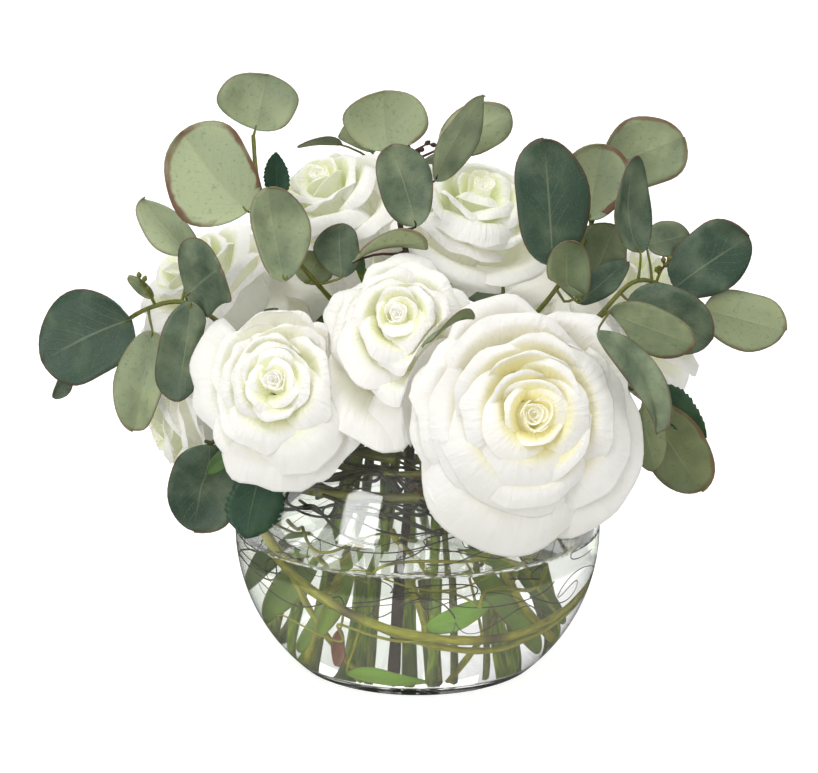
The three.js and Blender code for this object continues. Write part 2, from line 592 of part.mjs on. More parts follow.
const VINE_ROUTE = (() => {
  const points = VINE_COURSE.map(([degrees, height]) => {
    const angle = THREE.MathUtils.degToRad(degrees);
    const glass = Math.sqrt((BOWL.radius - BOWL.wall) ** 2 - (height - BOWL.centreHeight) ** 2);
    const reach = glass - VINE.fromGlass;
    return new THREE.Vector3(reach * Math.cos(angle), reach * Math.sin(angle), height);
  });
  return new THREE.CatmullRomCurve3(points, false, "centripetal").getPoints(VINE.segments);
})();

function vineSolid(grown) {
  const stem = tube(VINE_ROUTE, () => VINE.radius + grown, VINE.sides);
  return stem.add(leafSolid(VINE_LEAF, VINE_ROUTE, (point) => point, grown));
}

// ---------------------------------------------------------------- assembly

const rooms = ROSES.map(roomOf);
const allRooms = [...rooms, BOWL_ROOM];
const holes = [
  ...ROSES.map((rose) => waterHole(rose.neck, ROSE_STEM)),
  ...SPRAYS.map((spray) => waterHole(spray.neck, SPRAY_STEM)),
  vineSolid(1.2 * GAP),
];

const centrepiece = new THREE.Group();
centrepiece.add(pieceFrom("glass_bowl", bowlSolid(), FINISH.glass));
centrepiece.add(pieceFrom("water", waterSolid(holes), FINISH.water));
ROSES.forEach((rose, i) => {
  const bloom = bloomSolid(rose, [...rooms.slice(0, i), BOWL_ROOM]);
  centrepiece.add(pieceFrom(`rose_${rose.name}_bloom`, bloom, FINISH.petal));
  const green = roseGreenSolid(rose, rooms.filter((_, k) => k !== i));
  centrepiece.add(pieceFrom(`rose_${rose.name}_stem`, green, FINISH.roseGreen));
});
for (const spray of SPRAYS) {
  centrepiece.add(pieceFrom(`eucalyptus_${spray.name}`, spraySolid(spray, allRooms), spray.finish));
}
centrepiece.add(pieceFrom("vine", vineSolid(0), FINISH.vine));

export default centrepiece;
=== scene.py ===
"""Dresses the centrepiece: white roses and silver-dollar eucalyptus in a clear bubble bowl of set water.

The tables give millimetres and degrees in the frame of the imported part. Meshes are made in metres.
"""

import functools
import logging
import math
from dataclasses import dataclass, field
from enum import Enum
from typing import Callable, Optional, Sequence, Union

import bpy
import numpy as np
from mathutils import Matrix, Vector


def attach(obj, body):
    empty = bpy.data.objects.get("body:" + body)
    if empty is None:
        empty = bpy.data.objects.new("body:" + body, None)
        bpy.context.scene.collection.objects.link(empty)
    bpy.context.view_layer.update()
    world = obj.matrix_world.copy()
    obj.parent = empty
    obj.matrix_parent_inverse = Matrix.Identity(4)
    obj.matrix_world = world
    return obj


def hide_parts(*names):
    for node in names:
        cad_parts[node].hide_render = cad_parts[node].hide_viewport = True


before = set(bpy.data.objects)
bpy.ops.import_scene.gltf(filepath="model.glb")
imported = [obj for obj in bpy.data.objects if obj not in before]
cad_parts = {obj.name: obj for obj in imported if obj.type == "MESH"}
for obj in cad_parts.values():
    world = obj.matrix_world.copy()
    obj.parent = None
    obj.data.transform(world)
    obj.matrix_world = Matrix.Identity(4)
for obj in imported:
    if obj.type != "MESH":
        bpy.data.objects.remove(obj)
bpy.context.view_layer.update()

log = logging.getLogger("centrepiece")

Points = np.ndarray
Socket = bpy.types.NodeSocket
Triple = tuple[float, float, float]

MM = 0.001
UP = np.array([0.0, 0.0, 1.0])
VIEWER = (0.0, -0.966, 0.259)  # the front leaves show their faces this way
BLACK = "#000000"
WHITE = "#ffffff"
GOLDEN_ANGLE = math.radians(137.5)

BOWL_RADIUS = 100.0
BOWL_CENTRE_HEIGHT = 77.0
BOWL_RIM_HEIGHT = 146.0
BOWL_WALL = 3.0
BOWL_BASE = 6.0
WATER_LEVEL = 78.0

NECK_HEIGHT = 138.0  # where the stems draw together
NECK_SPREAD_PER_MM = 0.0065
NECK_TWIST_PER_MM = 0.0035
NECK_BEND = 4.0  # how far above and below the neck a stem starts to bend
STEM_FOOT_HEIGHT = 11.0
STRAIGHT_STEM_POINTS = 14
CLEAR_OF_BLOOMS = 1.2
CLEARING_ROUNDS = 4
LAYER_INSET = 2.4  # from each layer of pressed petals to the next one out
EDGE_INSET = 0.9  # from a pressed petal's edge to its neighbour's over it

TUBE_CAP_LENGTH = 0.6  # of a tube's radius
TUBE_CAP_TIP = 0.15
ACROSS_ANY_TUBE = (1, 0.13, 0)  # no tube starts along this
MM_PER_MAP_UNIT = 100
ROWS_PER_MAP_UNIT = 50
AXIS_RADIUS = 0.02  # of a turned solid where it meets its axis


# ---------------------------------------------------------------- vectors


def vec(values: Sequence[float]) -> Points:
    """Gives a float array of the values."""
    return np.array(values, float)


def unit(v: Points) -> Points:
    """Scales vectors along the last axis to length 1."""
    return v / np.maximum(np.linalg.norm(v, axis=-1, keepdims=True), 1e-12)


def turned_about(v: Points, axis: Points, angle: float) -> Points:
    """Turns a vector about a unit axis, by an angle in radians."""
    c, s = math.cos(angle), math.sin(angle)
    return v * c + np.cross(axis, v) * s + axis * np.dot(axis, v) * (1 - c)


def smoothstep(x: Points, low: float, high: float) -> Points:
    """Rises smoothly from 0 at low to 1 at high."""
    t = np.clip((x - low) / (high - low), 0, 1)
    return t * t * (3 - 2 * t)


def course(points: Sequence[Sequence[float]], steps: int) -> Points:
    """Samples a centripetal Catmull-Rom curve through the points.

    Args:
        points: The points that it passes through.
        steps: How many even steps of its parameter to take.

    Returns:
        An array of steps + 1 points.
    """
    p = np.array(points, float)
    p = np.vstack([2 * p[0] - p[1], p, 2 * p[-1] - p[-2]])
    spans = len(points) - 1
    out = []
    for t in np.linspace(0, spans, steps + 1):
        i = min(int(t), spans - 1)
        a, b, c, d = p[i : i + 4]
        da, db, dc = (math.sqrt(max(np.linalg.norm(y - x), 1e-9)) for x, y in ((a, b), (b, c), (c, d)))
        leave = ((b - a) / da - (c - a) / (da + db) + (c - b) / db) * db
        arrive = ((c - b) / db - (d - b) / (db + dc) + (d - c) / dc) * db
        w = t - i
        curve = 2 * b - 2 * c + leave + arrive
        out.append(curve * w**3 + (-3 * b + 3 * c - 2 * leave - arrive) * w**2 + leave * w + b)
    return np.array(out)


# ---------------------------------------------------------------- room taken by the blooms and the bowl


@dataclass(frozen=True)
class Room:
    """An ellipsoid that later pieces bend clear of."""

    centre: Points
    axes: Points
    sizes: Points

    def share(self, points: Points, clearance: Union[float, Points]) -> Points:
        """Says how far out points are.

        Args:
            points: The points.
            clearance: How much the room is grown, as one number or one for each point.

        Returns:
            The share of the way from the centre: 1 on the grown surface and less inside.
        """
        reach = (points - self.centre) @ self.axes.T
        grown = self.sizes + np.asarray(clearance, float)[..., None]
        return np.linalg.norm(reach / grown, axis=-1)

    def cleared(self, points: Points, clearance: Union[float, Points]) -> Points:
        """Moves the points that are inside out to the grown surface."""
        factor = 1 / np.clip(self.share(points, clearance), 0.05, 1)
        return self.centre + (points - self.centre) * factor[..., None]

    def kept(self, points: Points, margin: Union[float, Points]) -> Points:
        """Moves the points that are outside in to the surface, less the margin."""
        factor = 1 / np.maximum(self.share(points, -np.asarray(margin, float)), 1)
        return self.centre + (points - self.centre) * factor[..., None]


BOWL_ROOM = Room(vec((0, 0, BOWL_CENTRE_HEIGHT)), np.eye(3), np.full(3, BOWL_RADIUS))


def bent_clear(points: Points, rooms: Sequence[Room], clearance: Union[float, Points]) -> Points:
    """Moves points out of every room.

    Args:
        points: The points.
        rooms: The rooms to keep out of.
        clearance: How far from them, as one number or one for each point.

    Returns:
        The moved points.
    """
    for _ in range(CLEARING_ROUNDS):
        for room in rooms:
            points = room.cleared(points, clearance)
    return points


def eased(before: Points, after: Points, rounds: int = 3) -> Points:
    """Smooths the move from one grid of points to another, so that a bent sheet has no creases.

    Args:
        before: The first grid.
        after: The second grid.
        rounds: How often to smooth.

    Returns:
        The first grid with the smoothed move.
    """
    move = after - before
    for _ in range(rounds):
        padded = np.pad(move, ((1, 1), (1, 1), (0, 0)), "edge")
        move = (padded[:-2, 1:-1] + padded[2:, 1:-1] + padded[1:-1, :-2] + padded[1:-1, 2:] + 2 * move) / 6
    return before + move


# ---------------------------------------------------------------- meshes

MARKS = ("share", "tone", "olive", "red", "edge", "under")


def ring_angles(sides: int) -> Points:
    """Gives the angles of a ring's points, in radians."""
    return np.linspace(0, 2 * math.pi, sides, endpoint=False)


def ring_quads(rows: int, sides: int) -> Points:
    """Joins rings of points into a closed skin.

    Args:
        rows: How many rings there are.
        sides: How many points each ring has.

    Returns:
        The quads between the rings, and over the first and the last of them.
    """
    index = np.arange(rows * sides).reshape(rows, sides)
    a, b = index[:-1], np.roll(index[:-1], -1, 1)
    c, d = np.roll(index[1:], -1, 1), index[1:]
    quads = [np.stack([a, b, c, d], -1).reshape(-1, 4)]
    for ring, order in ((index[0], -1), (index[-1], 1)):
        for k in range(1, sides - 1, 2):
            quads.append(ring[[0, k, k + 1, min(k + 2, sides - 1)]][None, ::order])
    return np.concatenate(quads)


def sheet_map(u: Points, v: Points) -> Points:
    """Gives a sheet's map from -1..1 across it and 0..1 along it."""
    return np.stack(np.broadcast_arrays((u + 1) / 2, v), -1)


class Sheets:
    """Collects closed thin sheets and tubes, in millimetres, and makes one mesh of them."""

    def __init__(self) -> None:
        """Starts with nothing."""
        self.points: list[Points] = []
        self.uv: list[Points] = []
        self.marks: dict[str, list[Points]] = {name: [] for name in MARKS}
        self.quads: list[Points] = []
        self.slots: list[Points] = []
        self.count = 0

    def _add(self, points: Points, uv: Points, quads: Points, slot: int, marks: dict[str, Points]) -> None:
        """Adds points and the faces between them.

        Args:
            points: The points.
            uv: Their places on the map.
            quads: The faces, which count from the first of the points.
            slot: Their material.
            marks: Values for shading, as one number or one for each point.
        """
        number = len(points)
        self.points.append(points)
        self.uv.append(uv)
        for name in MARKS:
            self.marks[name].append(np.broadcast_to(np.asarray(marks.get(name, 0.0), float), (number,)))
        self.quads.append(quads + self.count)
        self.slots.append(np.full(len(quads), slot))
        self.count += number

    def sheet(self, grid: Points, thickness: Union[float, Points], uv: Points, slot: int = 0,
              **marks: Union[float, Points]) -> None:
        """Adds a sheet with a front, a back and a rim.

        Args:
            grid: Rows by columns of points on its middle surface.
            thickness: Its thickness, as one number or one for each point.
            uv: Rows by columns of places on its map.
            slot: Its material.
            marks: Values for shading, as one number or one for each point.
        """
        rows, columns = grid.shape[:2]
        normals = unit(np.cross(np.gradient(grid, axis=1), np.gradient(grid, axis=0)))
        half = np.broadcast_to(np.asarray(thickness, float), (rows, columns))[..., None] / 2
        faces = grid + normals * half, grid - normals * half
        both = np.concatenate([face.reshape(-1, 3) for face in faces])
        index = np.arange(rows * columns).reshape(rows, columns)
        a, b, c, d = index[:-1, :-1], index[:-1, 1:], index[1:, 1:], index[1:, :-1]
        front = np.stack([a, b, c, d], -1).reshape(-1, 4)
        back = front[:, ::-1] + rows * columns
        ring = np.concatenate([index[0, :-1], index[:-1, -1], index[-1, :0:-1], index[:0:-1, 0]])
        after = np.roll(ring, -1)
        rim = np.stack([after, ring, ring + rows * columns, after + rows * columns], -1)
        flat = {k: np.tile(np.broadcast_to(np.asarray(v, float), (rows, columns)).ravel(), 2)
                for k, v in marks.items()}
        flat["under"] = np.repeat([0.0, 1.0], rows * columns)
        self._add(both, np.tile(uv.reshape(-1, 2), (2, 1)), np.concatenate([front, back, rim]), slot, flat)

    def tube(self, path: Points, radii: Union[float, Points], sides: int = 8, slot: int = 0,
             **marks: Union[float, Points]) -> None:
        """Adds a round tube with rounded ends.

        Args:
            path: The points along its middle.
            radii: Its radius, as one number or one for each point.
            sides: How many sides it has.
            slot: Its material.
            marks: Values for shading.
        """
        radii = np.broadcast_to(np.asarray(radii, float), (len(path),))
        tangents = unit(np.gradient(path, axis=0))
        first = path[0] - tangents[0] * radii[0] * TUBE_CAP_LENGTH
        last = path[-1] + tangents[-1] * radii[-1] * TUBE_CAP_LENGTH
        path = np.vstack([first, path, last])
        radii = np.concatenate([[radii[0] * TUBE_CAP_TIP], radii, [radii[-1] * TUBE_CAP_TIP]])
        tangents = np.vstack([tangents[:1], tangents, tangents[-1:]])
        side = unit(np.cross(vec(ACROSS_ANY_TUBE), tangents[0]))
        rings = []
        angles = ring_angles(sides)[:, None]
        for point, tangent, radius in zip(path, tangents, radii):
            side = unit(side - tangent * np.dot(side, tangent))
            other = np.cross(tangent, side)
            rings.append(point + radius * (np.cos(angles) * side + np.sin(angles) * other))
        length = np.concatenate([[0], np.cumsum(np.linalg.norm(np.diff(path, axis=0), axis=1))])
        along = length[:, None] / MM_PER_MAP_UNIT
        uv = np.stack(np.broadcast_arrays(np.linspace(0, 1, sides)[None], along), -1)
        self._add(np.concatenate(rings), uv.reshape(-1, 2), ring_quads(len(path), sides), slot, marks)

    def lathe(self, profile: Points, sides: int, painted_band: Optional[Points] = None) -> None:
        """Adds a solid turned about Z.

        Args:
            profile: Points of radius and height that start and end at the axis.
            sides: How many sides it has.
            painted_band: How much each point of the profile takes the painted reflection under the water's
                surface.
        """
        angles = ring_angles(sides)
        ring = np.stack([np.cos(angles), np.sin(angles)], -1)
        profile = profile.copy()
        profile[[0, -1], 0] = AXIS_RADIUS
        points = np.concatenate([
            np.column_stack([radius * ring, np.full(sides, height)]) for radius, height in profile])
        rows = np.arange(len(profile))[:, None] / ROWS_PER_MAP_UNIT
        uv = np.stack(np.broadcast_arrays(angles[None] / (2 * math.pi), rows), -1)
        marks = {} if painted_band is None else {"edge": np.repeat(painted_band, sides)}
        self._add(points, uv.reshape(-1, 2), ring_quads(len(profile), sides), 0, marks)

    def make(self, name: str, materials: Sequence[bpy.types.Material]) -> bpy.types.Object:
        """Makes the mesh object.

        Args:
            name: The piece's name.
            materials: Its materials, by slot.

        Returns:
            The new object, in the scene.
        """
        quads, slots = np.concatenate(self.quads), np.concatenate(self.slots)
        corners = [list(dict.fromkeys(quad)) for quad in quads.tolist()]
        keep = [k for k, quad in enumerate(corners) if len(quad) > 2]
        loops = np.array([v for k in keep for v in corners[k]], np.int32)
        sizes = np.array([len(corners[k]) for k in keep])
        mesh = bpy.data.meshes.new(name)
        mesh.vertices.add(self.count)
        mesh.vertices.foreach_set("co", (np.concatenate(self.points) * MM).astype(np.float32).ravel())
        mesh.loops.add(len(loops))
        mesh.loops.foreach_set("vertex_index", loops)
        mesh.polygons.add(len(keep))
        mesh.polygons.foreach_set("loop_start", np.concatenate([[0], np.cumsum(sizes)[:-1]]).astype(np.int32))
        mesh.polygons.foreach_set("material_index", slots[keep].astype(np.int32))
        mesh.polygons.foreach_set("use_smooth", np.ones(len(keep), bool))
        mesh.update(calc_edges=True)
        layer = mesh.uv_layers.new(name="Sheet")
        layer.data.foreach_set("uv", np.concatenate(self.uv)[loops].astype(np.float32).ravel())
        for mark, values in self.marks.items():
            joined = np.concatenate(values).astype(np.float32)
            if joined.any():
                mesh.attributes.new(mark, "FLOAT", "POINT").data.foreach_set("value", joined)
        for material in materials:
            mesh.materials.append(material)
        mesh.validate()
        piece = bpy.data.objects.new(name, mesh)
        bpy.context.scene.collection.objects.link(piece)
        return piece


def hand_over(piece: bpy.types.Object, slot: str, *nodes: str) -> None:
    """Puts a piece in the place of CAD nodes and reports it.

    Args:
        piece: The new piece.
        slot: The record's material slot; not used.
        nodes: The CAD nodes that it stands for.
    """
    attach(piece, "root")
    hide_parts(*nodes)
    log.info("%s stands for %s, %d faces", piece.name, ", ".join(nodes), len(piece.data.polygons))


# ---------------------------------------------------------------- shader wiring


def colour(code: str) -> tuple[float, float, float, float]:
    """Turns a screen colour into the linear one that shaders take.

    Args:
        code: The screen colour, in hexadecimal.

    Returns:
        Its red, green, blue and alpha.
    """
    parts = [int(code[i : i + 2], 16) / 255 for i in (1, 3, 5)]
    red, green, blue = (c / 12.92 if c <= 0.04045 else ((c + 0.055) / 1.055) ** 2.4 for c in parts)
    return (red, green, blue, 1.0)


class Wiring:
    """Adds and joins the nodes of one shader tree."""

    def __init__(self, tree: bpy.types.NodeTree) -> None:
        """Keeps the tree."""
        self.tree = tree

    def add(self, kind: str, values: Optional[dict] = None, **settings: object) -> bpy.types.Node:
        """Adds a node.

        Args:
            kind: Its type, without the words ShaderNode.
            values: What goes into its inputs, as sockets or plain values.
            settings: Its own settings.

        Returns:
            The node.
        """
        node = self.tree.nodes.new("ShaderNode" + kind)
        for key, value in settings.items():
            setattr(node, key, value)
        for key, value in (values or {}).items():
            self.feed(node.inputs[key], value)
        return node

    def feed(self, target: Socket, value: object) -> None:
        """Links a socket to the target, or sets the target's value.

        Args:
            target: The input.
            value: The socket or the plain value.
        """
        if isinstance(value, bpy.types.NodeSocket):
            self.tree.links.new(value, target)
        else:
            target.default_value = value

    def maths(self, operation: str, *terms: object) -> Socket:
        """Adds a Math node.

        Args:
            operation: What it works out.
            terms: Its inputs, as sockets or numbers.

        Returns:
            Its result.
        """
        node = self.add("Math", operation=operation)
        for target, value in zip(node.inputs, terms):
            self.feed(target, value)
        return node.outputs[0]

    def ramp(self, value: Socket, low: float, high: float, bottom: float = 0.0, top: float = 1.0) -> Socket:
        """Maps a value smoothly from low..high to bottom..top."""
        limits = {"Value": value, "From Min": low, "From Max": high, "To Min": bottom, "To Max": top}
        return self.add("MapRange", limits, interpolation_type="SMOOTHSTEP").outputs[0]

    def times(self, value: Socket, amount: object) -> Socket:
        """Multiplies a value by another or by a number."""
        return self.maths("MULTIPLY", value, amount)

    def swing(self, value: Socket, amount: float) -> Socket:
        """Swings a value of 0 to 1 about its middle, by an amount."""
        return self.times(self.maths("SUBTRACT", value, 0.5), amount)

    def mix(self, amount: object, a: object, b: object) -> Socket:
        """Blends two colours.

        Args:
            amount: How much of the second one, as a socket or a number.
            a: The first colour.
            b: The second colour.

        Returns:
            The blend.
        """
        node = self.add("Mix", data_type="RGBA")
        for place, value in ((0, amount), (6, a), (7, b)):
            self.feed(node.inputs[place], value)
        return node.outputs[2]

    def mark(self, name: str) -> Socket:
        """Reads one of the mesh's marks."""
        return self.add("Attribute", attribute_name=name).outputs["Fac"]

    def noise(self, scale: object, detail: float = 2.0, place: Optional[Socket] = None) -> Socket:
        """Gives a noise from 0 to 1 over the object, with scale in waves per metre."""
        place = place or self.add("TexCoord").outputs["Object"]
        return self.add("TexNoise", {"Vector": place, "Scale": scale, "Detail": detail}).outputs["Fac"]

    def grain(self, scale: float, depth: float) -> bpy.types.Node:
        """Adds the fine grain.

        Args:
            scale: How fine it is, in waves per metre.
            depth: How deep it is.

        Returns:
            Its node.
        """
        node = self.add("Group", node_tree=grain_group())
        set_up(node, Scale=scale, Depth=depth)
        return node

    def relief(self, shader: bpy.types.Node, height: Socket, strength: float, distance: float) -> None:
        """Raises a shader's surface by a height, where 1 stands for a distance in metres."""
        bump = self.add("Bump", {"Strength": strength, "Distance": distance, "Height": height})
        self.feed(shader.inputs["Normal"], bump.outputs[0])

    def seen(self) -> Socket:
        """Says where the camera looks, straight or through glass."""
        path = self.add("LightPath")
        return self.maths("MAXIMUM", path.outputs["Is Camera Ray"], path.outputs["Is Transmission Ray"])

    def map_place(self) -> tuple[Socket, Socket]:
        """Gives the two coordinates of the sheet's own map."""
        parts = self.add("SeparateXYZ", {"Vector": self.add("UVMap", uv_map="Sheet").outputs["UV"]})
        return parts.outputs["X"], parts.outputs["Y"]


def effect_group(name: str, inputs: dict[str, object], outputs: dict[str, str],
                 fill: Callable[[Wiring, dict[str, Socket]], dict[str, Socket]]) -> bpy.types.NodeTree:
    """Makes a shader node group.

    Args:
        name: Its name.
        inputs: The default of each input, a number or a colour.
        outputs: The socket type of each output.
        fill: Adds its nodes, given its inputs, and returns what its outputs give.

    Returns:
        The group.
    """
    group = bpy.data.node_groups.new(name, "ShaderNodeTree")
    for key, value in inputs.items():
        kind = "NodeSocketFloat" if isinstance(value, (int, float)) else "NodeSocketColor"
        group.interface.new_socket(name=key, in_out="INPUT", socket_type=kind).default_value = value
    for key, kind in outputs.items():
        group.interface.new_socket(name=key, in_out="OUTPUT", socket_type=kind)
    entry, leaving = group.nodes.new("NodeGroupInput"), group.nodes.new("NodeGroupOutput")
    wiring = Wiring(group)
    given = fill(wiring, {key: entry.outputs[key] for key in inputs})
    for key, socket in given.items():
        wiring.feed(leaving.inputs[key], socket)
    return group


FLOAT_SOCKET = "NodeSocketFloat"
COLOUR_SOCKET = "NodeSocketColor"


@functools.cache
def grain_group() -> bpy.types.NodeTree:
    """Makes the fine grain of petals and stalks, with a height and a mask for roughness.

    Returns:
        The group.
    """

    def fill(w: Wiring, given: dict[str, Socket]) -> dict[str, Socket]:
        """Adds a coarse and a fine noise.

        Args:
            w: The group's wiring.
            given: The group's inputs.

        Returns:
            What each output gives.
        """
        place = w.add("TexCoord").outputs["Object"]
        fine = w.noise(given["Scale"], 3.0, place)
        wide = w.noise(w.times(given["Scale"], 0.13), 2.0, place)
        return {"Height": w.times(fine, given["Depth"]), "Mask": wide}

    outputs = {"Height": FLOAT_SOCKET, "Mask": FLOAT_SOCKET}
    return effect_group("fine_grain", {"Scale": 900.0, "Depth": 1.0}, outputs, fill)


@dataclass(frozen=True)
class LeafPattern:
    """The pattern of a leaf, with noises in waves per metre and how strongly each layer shows."""

    mottling: float = 0.85
    olive: float = 0.75
    painted_fold_shade: float = 0.16
    speckling: float = 0.24
    fleck: float = 0.3
    vein_slant: float = 7.0
    vein: float = 0.09
    rib: float = 0.26
    underside: float = 0.4
    hem: float = 0.45
    margin_limit: float = 0.85

    def face(self, w: Wiring, given: dict[str, Socket], blotch: Socket, across: Socket) -> Socket:
        """Paints the mottled face, with its haze, specks and flecks, and a painted shade on one half.

        Args:
            w: The group's wiring.
            given: The group's inputs.
            blotch: The noise that mottles it.
            across: The place across the leaf.

        Returns:
            Its colour.
        """
        tone = w.maths("ADD", w.mark("tone"), w.swing(blotch, self.mottling))
        face = w.mix(w.ramp(tone, 0.0, 1.0), given["Dark"], given["Pale"])
        face = w.mix(w.times(w.mark("olive"), self.olive), face, given["Olive"])
        # painted shade: one half, beyond the rib, darker as if the leaf were folded and that side turned from
        # the light
        face = w.mix(w.ramp(across, 0.49, 0.51, 0.0, self.painted_fold_shade), face, given["Dark"])
        haze = w.times(w.ramp(w.noise(38.0, 5.0), 0.48, 0.72), given["Haze"])
        face = w.mix(haze, face, given["Powder"])
        face = w.mix(w.times(w.ramp(w.noise(1700.0), 0.5, 0.75), self.speckling), face, given["Powder"])
        return w.mix(w.times(w.ramp(w.noise(520.0, 3.0), 0.55, 0.75), self.fleck), face, given["Dark"])

    def lines(self, w: Wiring, side: Socket, along: Socket, veins: Socket) -> tuple[Socket, Socket]:
        """Draws the rib and the slanting veins.

        Args:
            w: The group's wiring.
            side: How far from the rib, up to a half.
            along: How far up the leaf.
            veins: How many veins there are.

        Returns:
            The masks of the rib and of the veins.
        """
        slant = w.maths("SUBTRACT", w.times(along, veins), w.times(side, self.vein_slant))
        saw = w.maths("ABSOLUTE", w.maths("SUBTRACT", w.maths("FRACT", slant), 0.5))
        vein = w.times(w.ramp(saw, 0.09, 0.0), w.ramp(side, 0.46, 0.05))
        rib = w.times(w.ramp(side, 0.022, 0.006), w.ramp(along, 1.0, 0.55))
        return rib, vein

    def rim(self, w: Wiring) -> Socket:
        """Draws the coloured rim: an uneven margin, as wide as the leaf is red, and a thin hem.

        Args:
            w: The group's wiring.

        Returns:
            Its mask.
        """
        edge = w.maths("ADD", w.mark("edge"), w.swing(w.noise(90.0), 0.22))
        start = w.maths("SUBTRACT", 0.99, w.times(w.mark("red"), 0.13))
        over = w.maths("DIVIDE", w.maths("SUBTRACT", edge, start), 0.07)
        patchy = w.ramp(w.noise(30.0), 0.38, 0.6, 0.15, 0.85)
        margin = w.times(w.ramp(over, 0.0, 1.0), w.times(patchy, w.mark("red")))
        hem = w.times(w.ramp(w.mark("edge"), 0.955, 0.99), self.hem)
        return w.maths("MINIMUM", w.maths("MAXIMUM", margin, hem), self.margin_limit)

    def fill(self, w: Wiring, given: dict[str, Socket]) -> dict[str, Socket]:
        """Adds the layers from the face up to the rim.

        Args:
            w: The group's wiring.
            given: The group's inputs.

        Returns:
            What each output gives.
        """
        across, along = w.map_place()
        side = w.maths("ABSOLUTE", w.maths("SUBTRACT", across, 0.5))
        blotch = w.noise(70.0, 4.0)
        face = self.face(w, given, blotch, across)
        rib, vein = self.lines(w, side, along, given["Veins"])
        face = w.mix(w.maths("MAXIMUM", w.times(vein, self.vein), w.times(rib, self.rib)), face, given["Rib"])
        face = w.mix(w.times(w.mark("under"), self.underside), face, given["Powder"])
        face = w.mix(self.rim(w), face, given["Margin"])
        raised, rough = w.times(w.maths("MAXIMUM", rib, vein), 0.6), w.times(w.noise(260.0, 3.0), 0.5)
        height = w.maths("ADD", raised, rough)
        return {"Color": face, "Height": height, "Roughness": w.ramp(blotch, 0.3, 0.7, 0.5, 0.66)}


LEAF_SHADES = ("Dark", "Pale", "Olive", "Powder", "Rib", "Margin")


@functools.cache
def leaf_group() -> bpy.types.NodeTree:
    """Makes the group of the leaf pattern.

    Returns:
        The group.
    """
    shades = {key: colour("#808080") for key in LEAF_SHADES}
    outputs = {"Color": COLOUR_SOCKET, "Height": FLOAT_SOCKET, "Roughness": FLOAT_SOCKET}
    return effect_group("leaf_pattern", {**shades, "Haze": 0.35, "Veins": 7.0}, outputs, LeafPattern().fill)


def blank_material(name: str) -> tuple[bpy.types.Material, Wiring, bpy.types.Node]:
    """Starts a material with one Principled shader.

    Args:
        name: Its name.

    Returns:
        The material, its wiring and the shader.
    """
    material = bpy.data.materials.new(name)
    material.use_nodes = True
    return material, Wiring(material.node_tree), material.node_tree.nodes["Principled BSDF"]


def set_up(shader: bpy.types.Node, **values: Union[float, Triple]) -> None:
    """Sets a node's own sockets, with the spaces in their names written as underscores."""
    for key, value in values.items():
        shader.inputs[key.replace("_", " ")].default_value = value


@dataclass(frozen=True)
class PetalFinish:
    """Soft white petals with a tinted heart, a base tint that is partly painted shade, and a painted glow."""

    name: str
    heart: str
    # base: partly the petal's own lime or cream, partly painted shade for the recesses where petals overlap
    base: str
    heart_reach: float
    # painted glow: emission in the petal's own colour, lighting the petals with no lamp
    painted_glow: float = 0.05
    # how much of the base tint and its painted shade the outer petals keep
    spread: float = 0.3
    # more painted glow towards the heart
    heart_painted_glow: float = 0.1
    whites: tuple[str, str] = ("#f4f2ec", "#e9e7df")
    crease: str = "#dfe0d2"
    grain: tuple[float, float] = (1500.0, 0.25)

    def face(self, w: Wiring, share: Socket, along: Socket, vein: Socket) -> Socket:
        """Paints a petal: white, tinted towards the heart and at its own base, the base tint partly painted
        shade in the recesses between petals, with faint creases.

        Args:
            w: The material's wiring.
            share: How far out in the bloom it is.
            along: The place up the petal.
            vein: The creases.

        Returns:
            Its colour.
        """
        white = w.mix(w.ramp(w.noise(26.0, 3.0), 0.35, 0.7, 0.0, 0.6), *map(colour, self.whites))
        face = w.mix(w.ramp(share, self.heart_reach, 0.0, 0.0, 0.7), white, colour(self.heart))
        # painted shade: the lower petal, where it lies in the recess under its neighbours, takes the base
        # tint, more on its back face
        low = w.times(w.ramp(along, 0.78, 0.42), w.ramp(w.mark("under"), 0.0, 1.0, 0.35, 1.0))
        face = w.mix(w.times(low, w.ramp(share, 1.1, 0.4, self.spread, 1.0)), face, colour(self.base))
        return w.mix(w.ramp(vein, 0.55, 0.75, 0.0, 0.12), face, colour(self.crease))

    @functools.cached_property
    def material(self) -> bpy.types.Material:
        """Makes the material once.

        Returns:
            The material.
        """
        material, w, shader = blank_material(self.name)
        across, along = w.map_place()
        share = w.mark("share")
        streaks = w.add("CombineXYZ", {"X": w.times(across, 26.0), "Y": w.times(along, 1.6),
                                       "Z": w.times(share, 40.0)}).outputs[0]
        vein = w.noise(1.0, 3.0, streaks)
        face = self.face(w, share, along, vein)
        grain = w.grain(*self.grain)
        height = w.maths("ADD", w.times(vein, 1.5), grain.outputs["Height"])
        height = w.maths("ADD", height, w.times(w.noise(110.0, 4.0), 1.6))
        # painted glow, rising from the outer petals in to the heart
        painted_glow = w.ramp(share, 0.4, 0.0, self.painted_glow, self.painted_glow + self.heart_painted_glow)
        w.feed(shader.inputs["Base Color"], face)
        w.feed(shader.inputs["Emission Color"], w.mix(painted_glow, colour(BLACK), face))
        w.feed(shader.inputs["Roughness"], w.ramp(grain.outputs["Mask"], 0.3, 0.7, 0.5, 0.62))
        w.relief(shader, height, 0.65, 0.001)
        set_up(shader, Emission_Strength=1.0, Sheen_Weight=0.1, Specular_IOR_Level=0.25,
               Subsurface_Weight=0.15, Subsurface_Scale=0.002, Subsurface_Radius=(1.0, 0.95, 0.7))
        return material


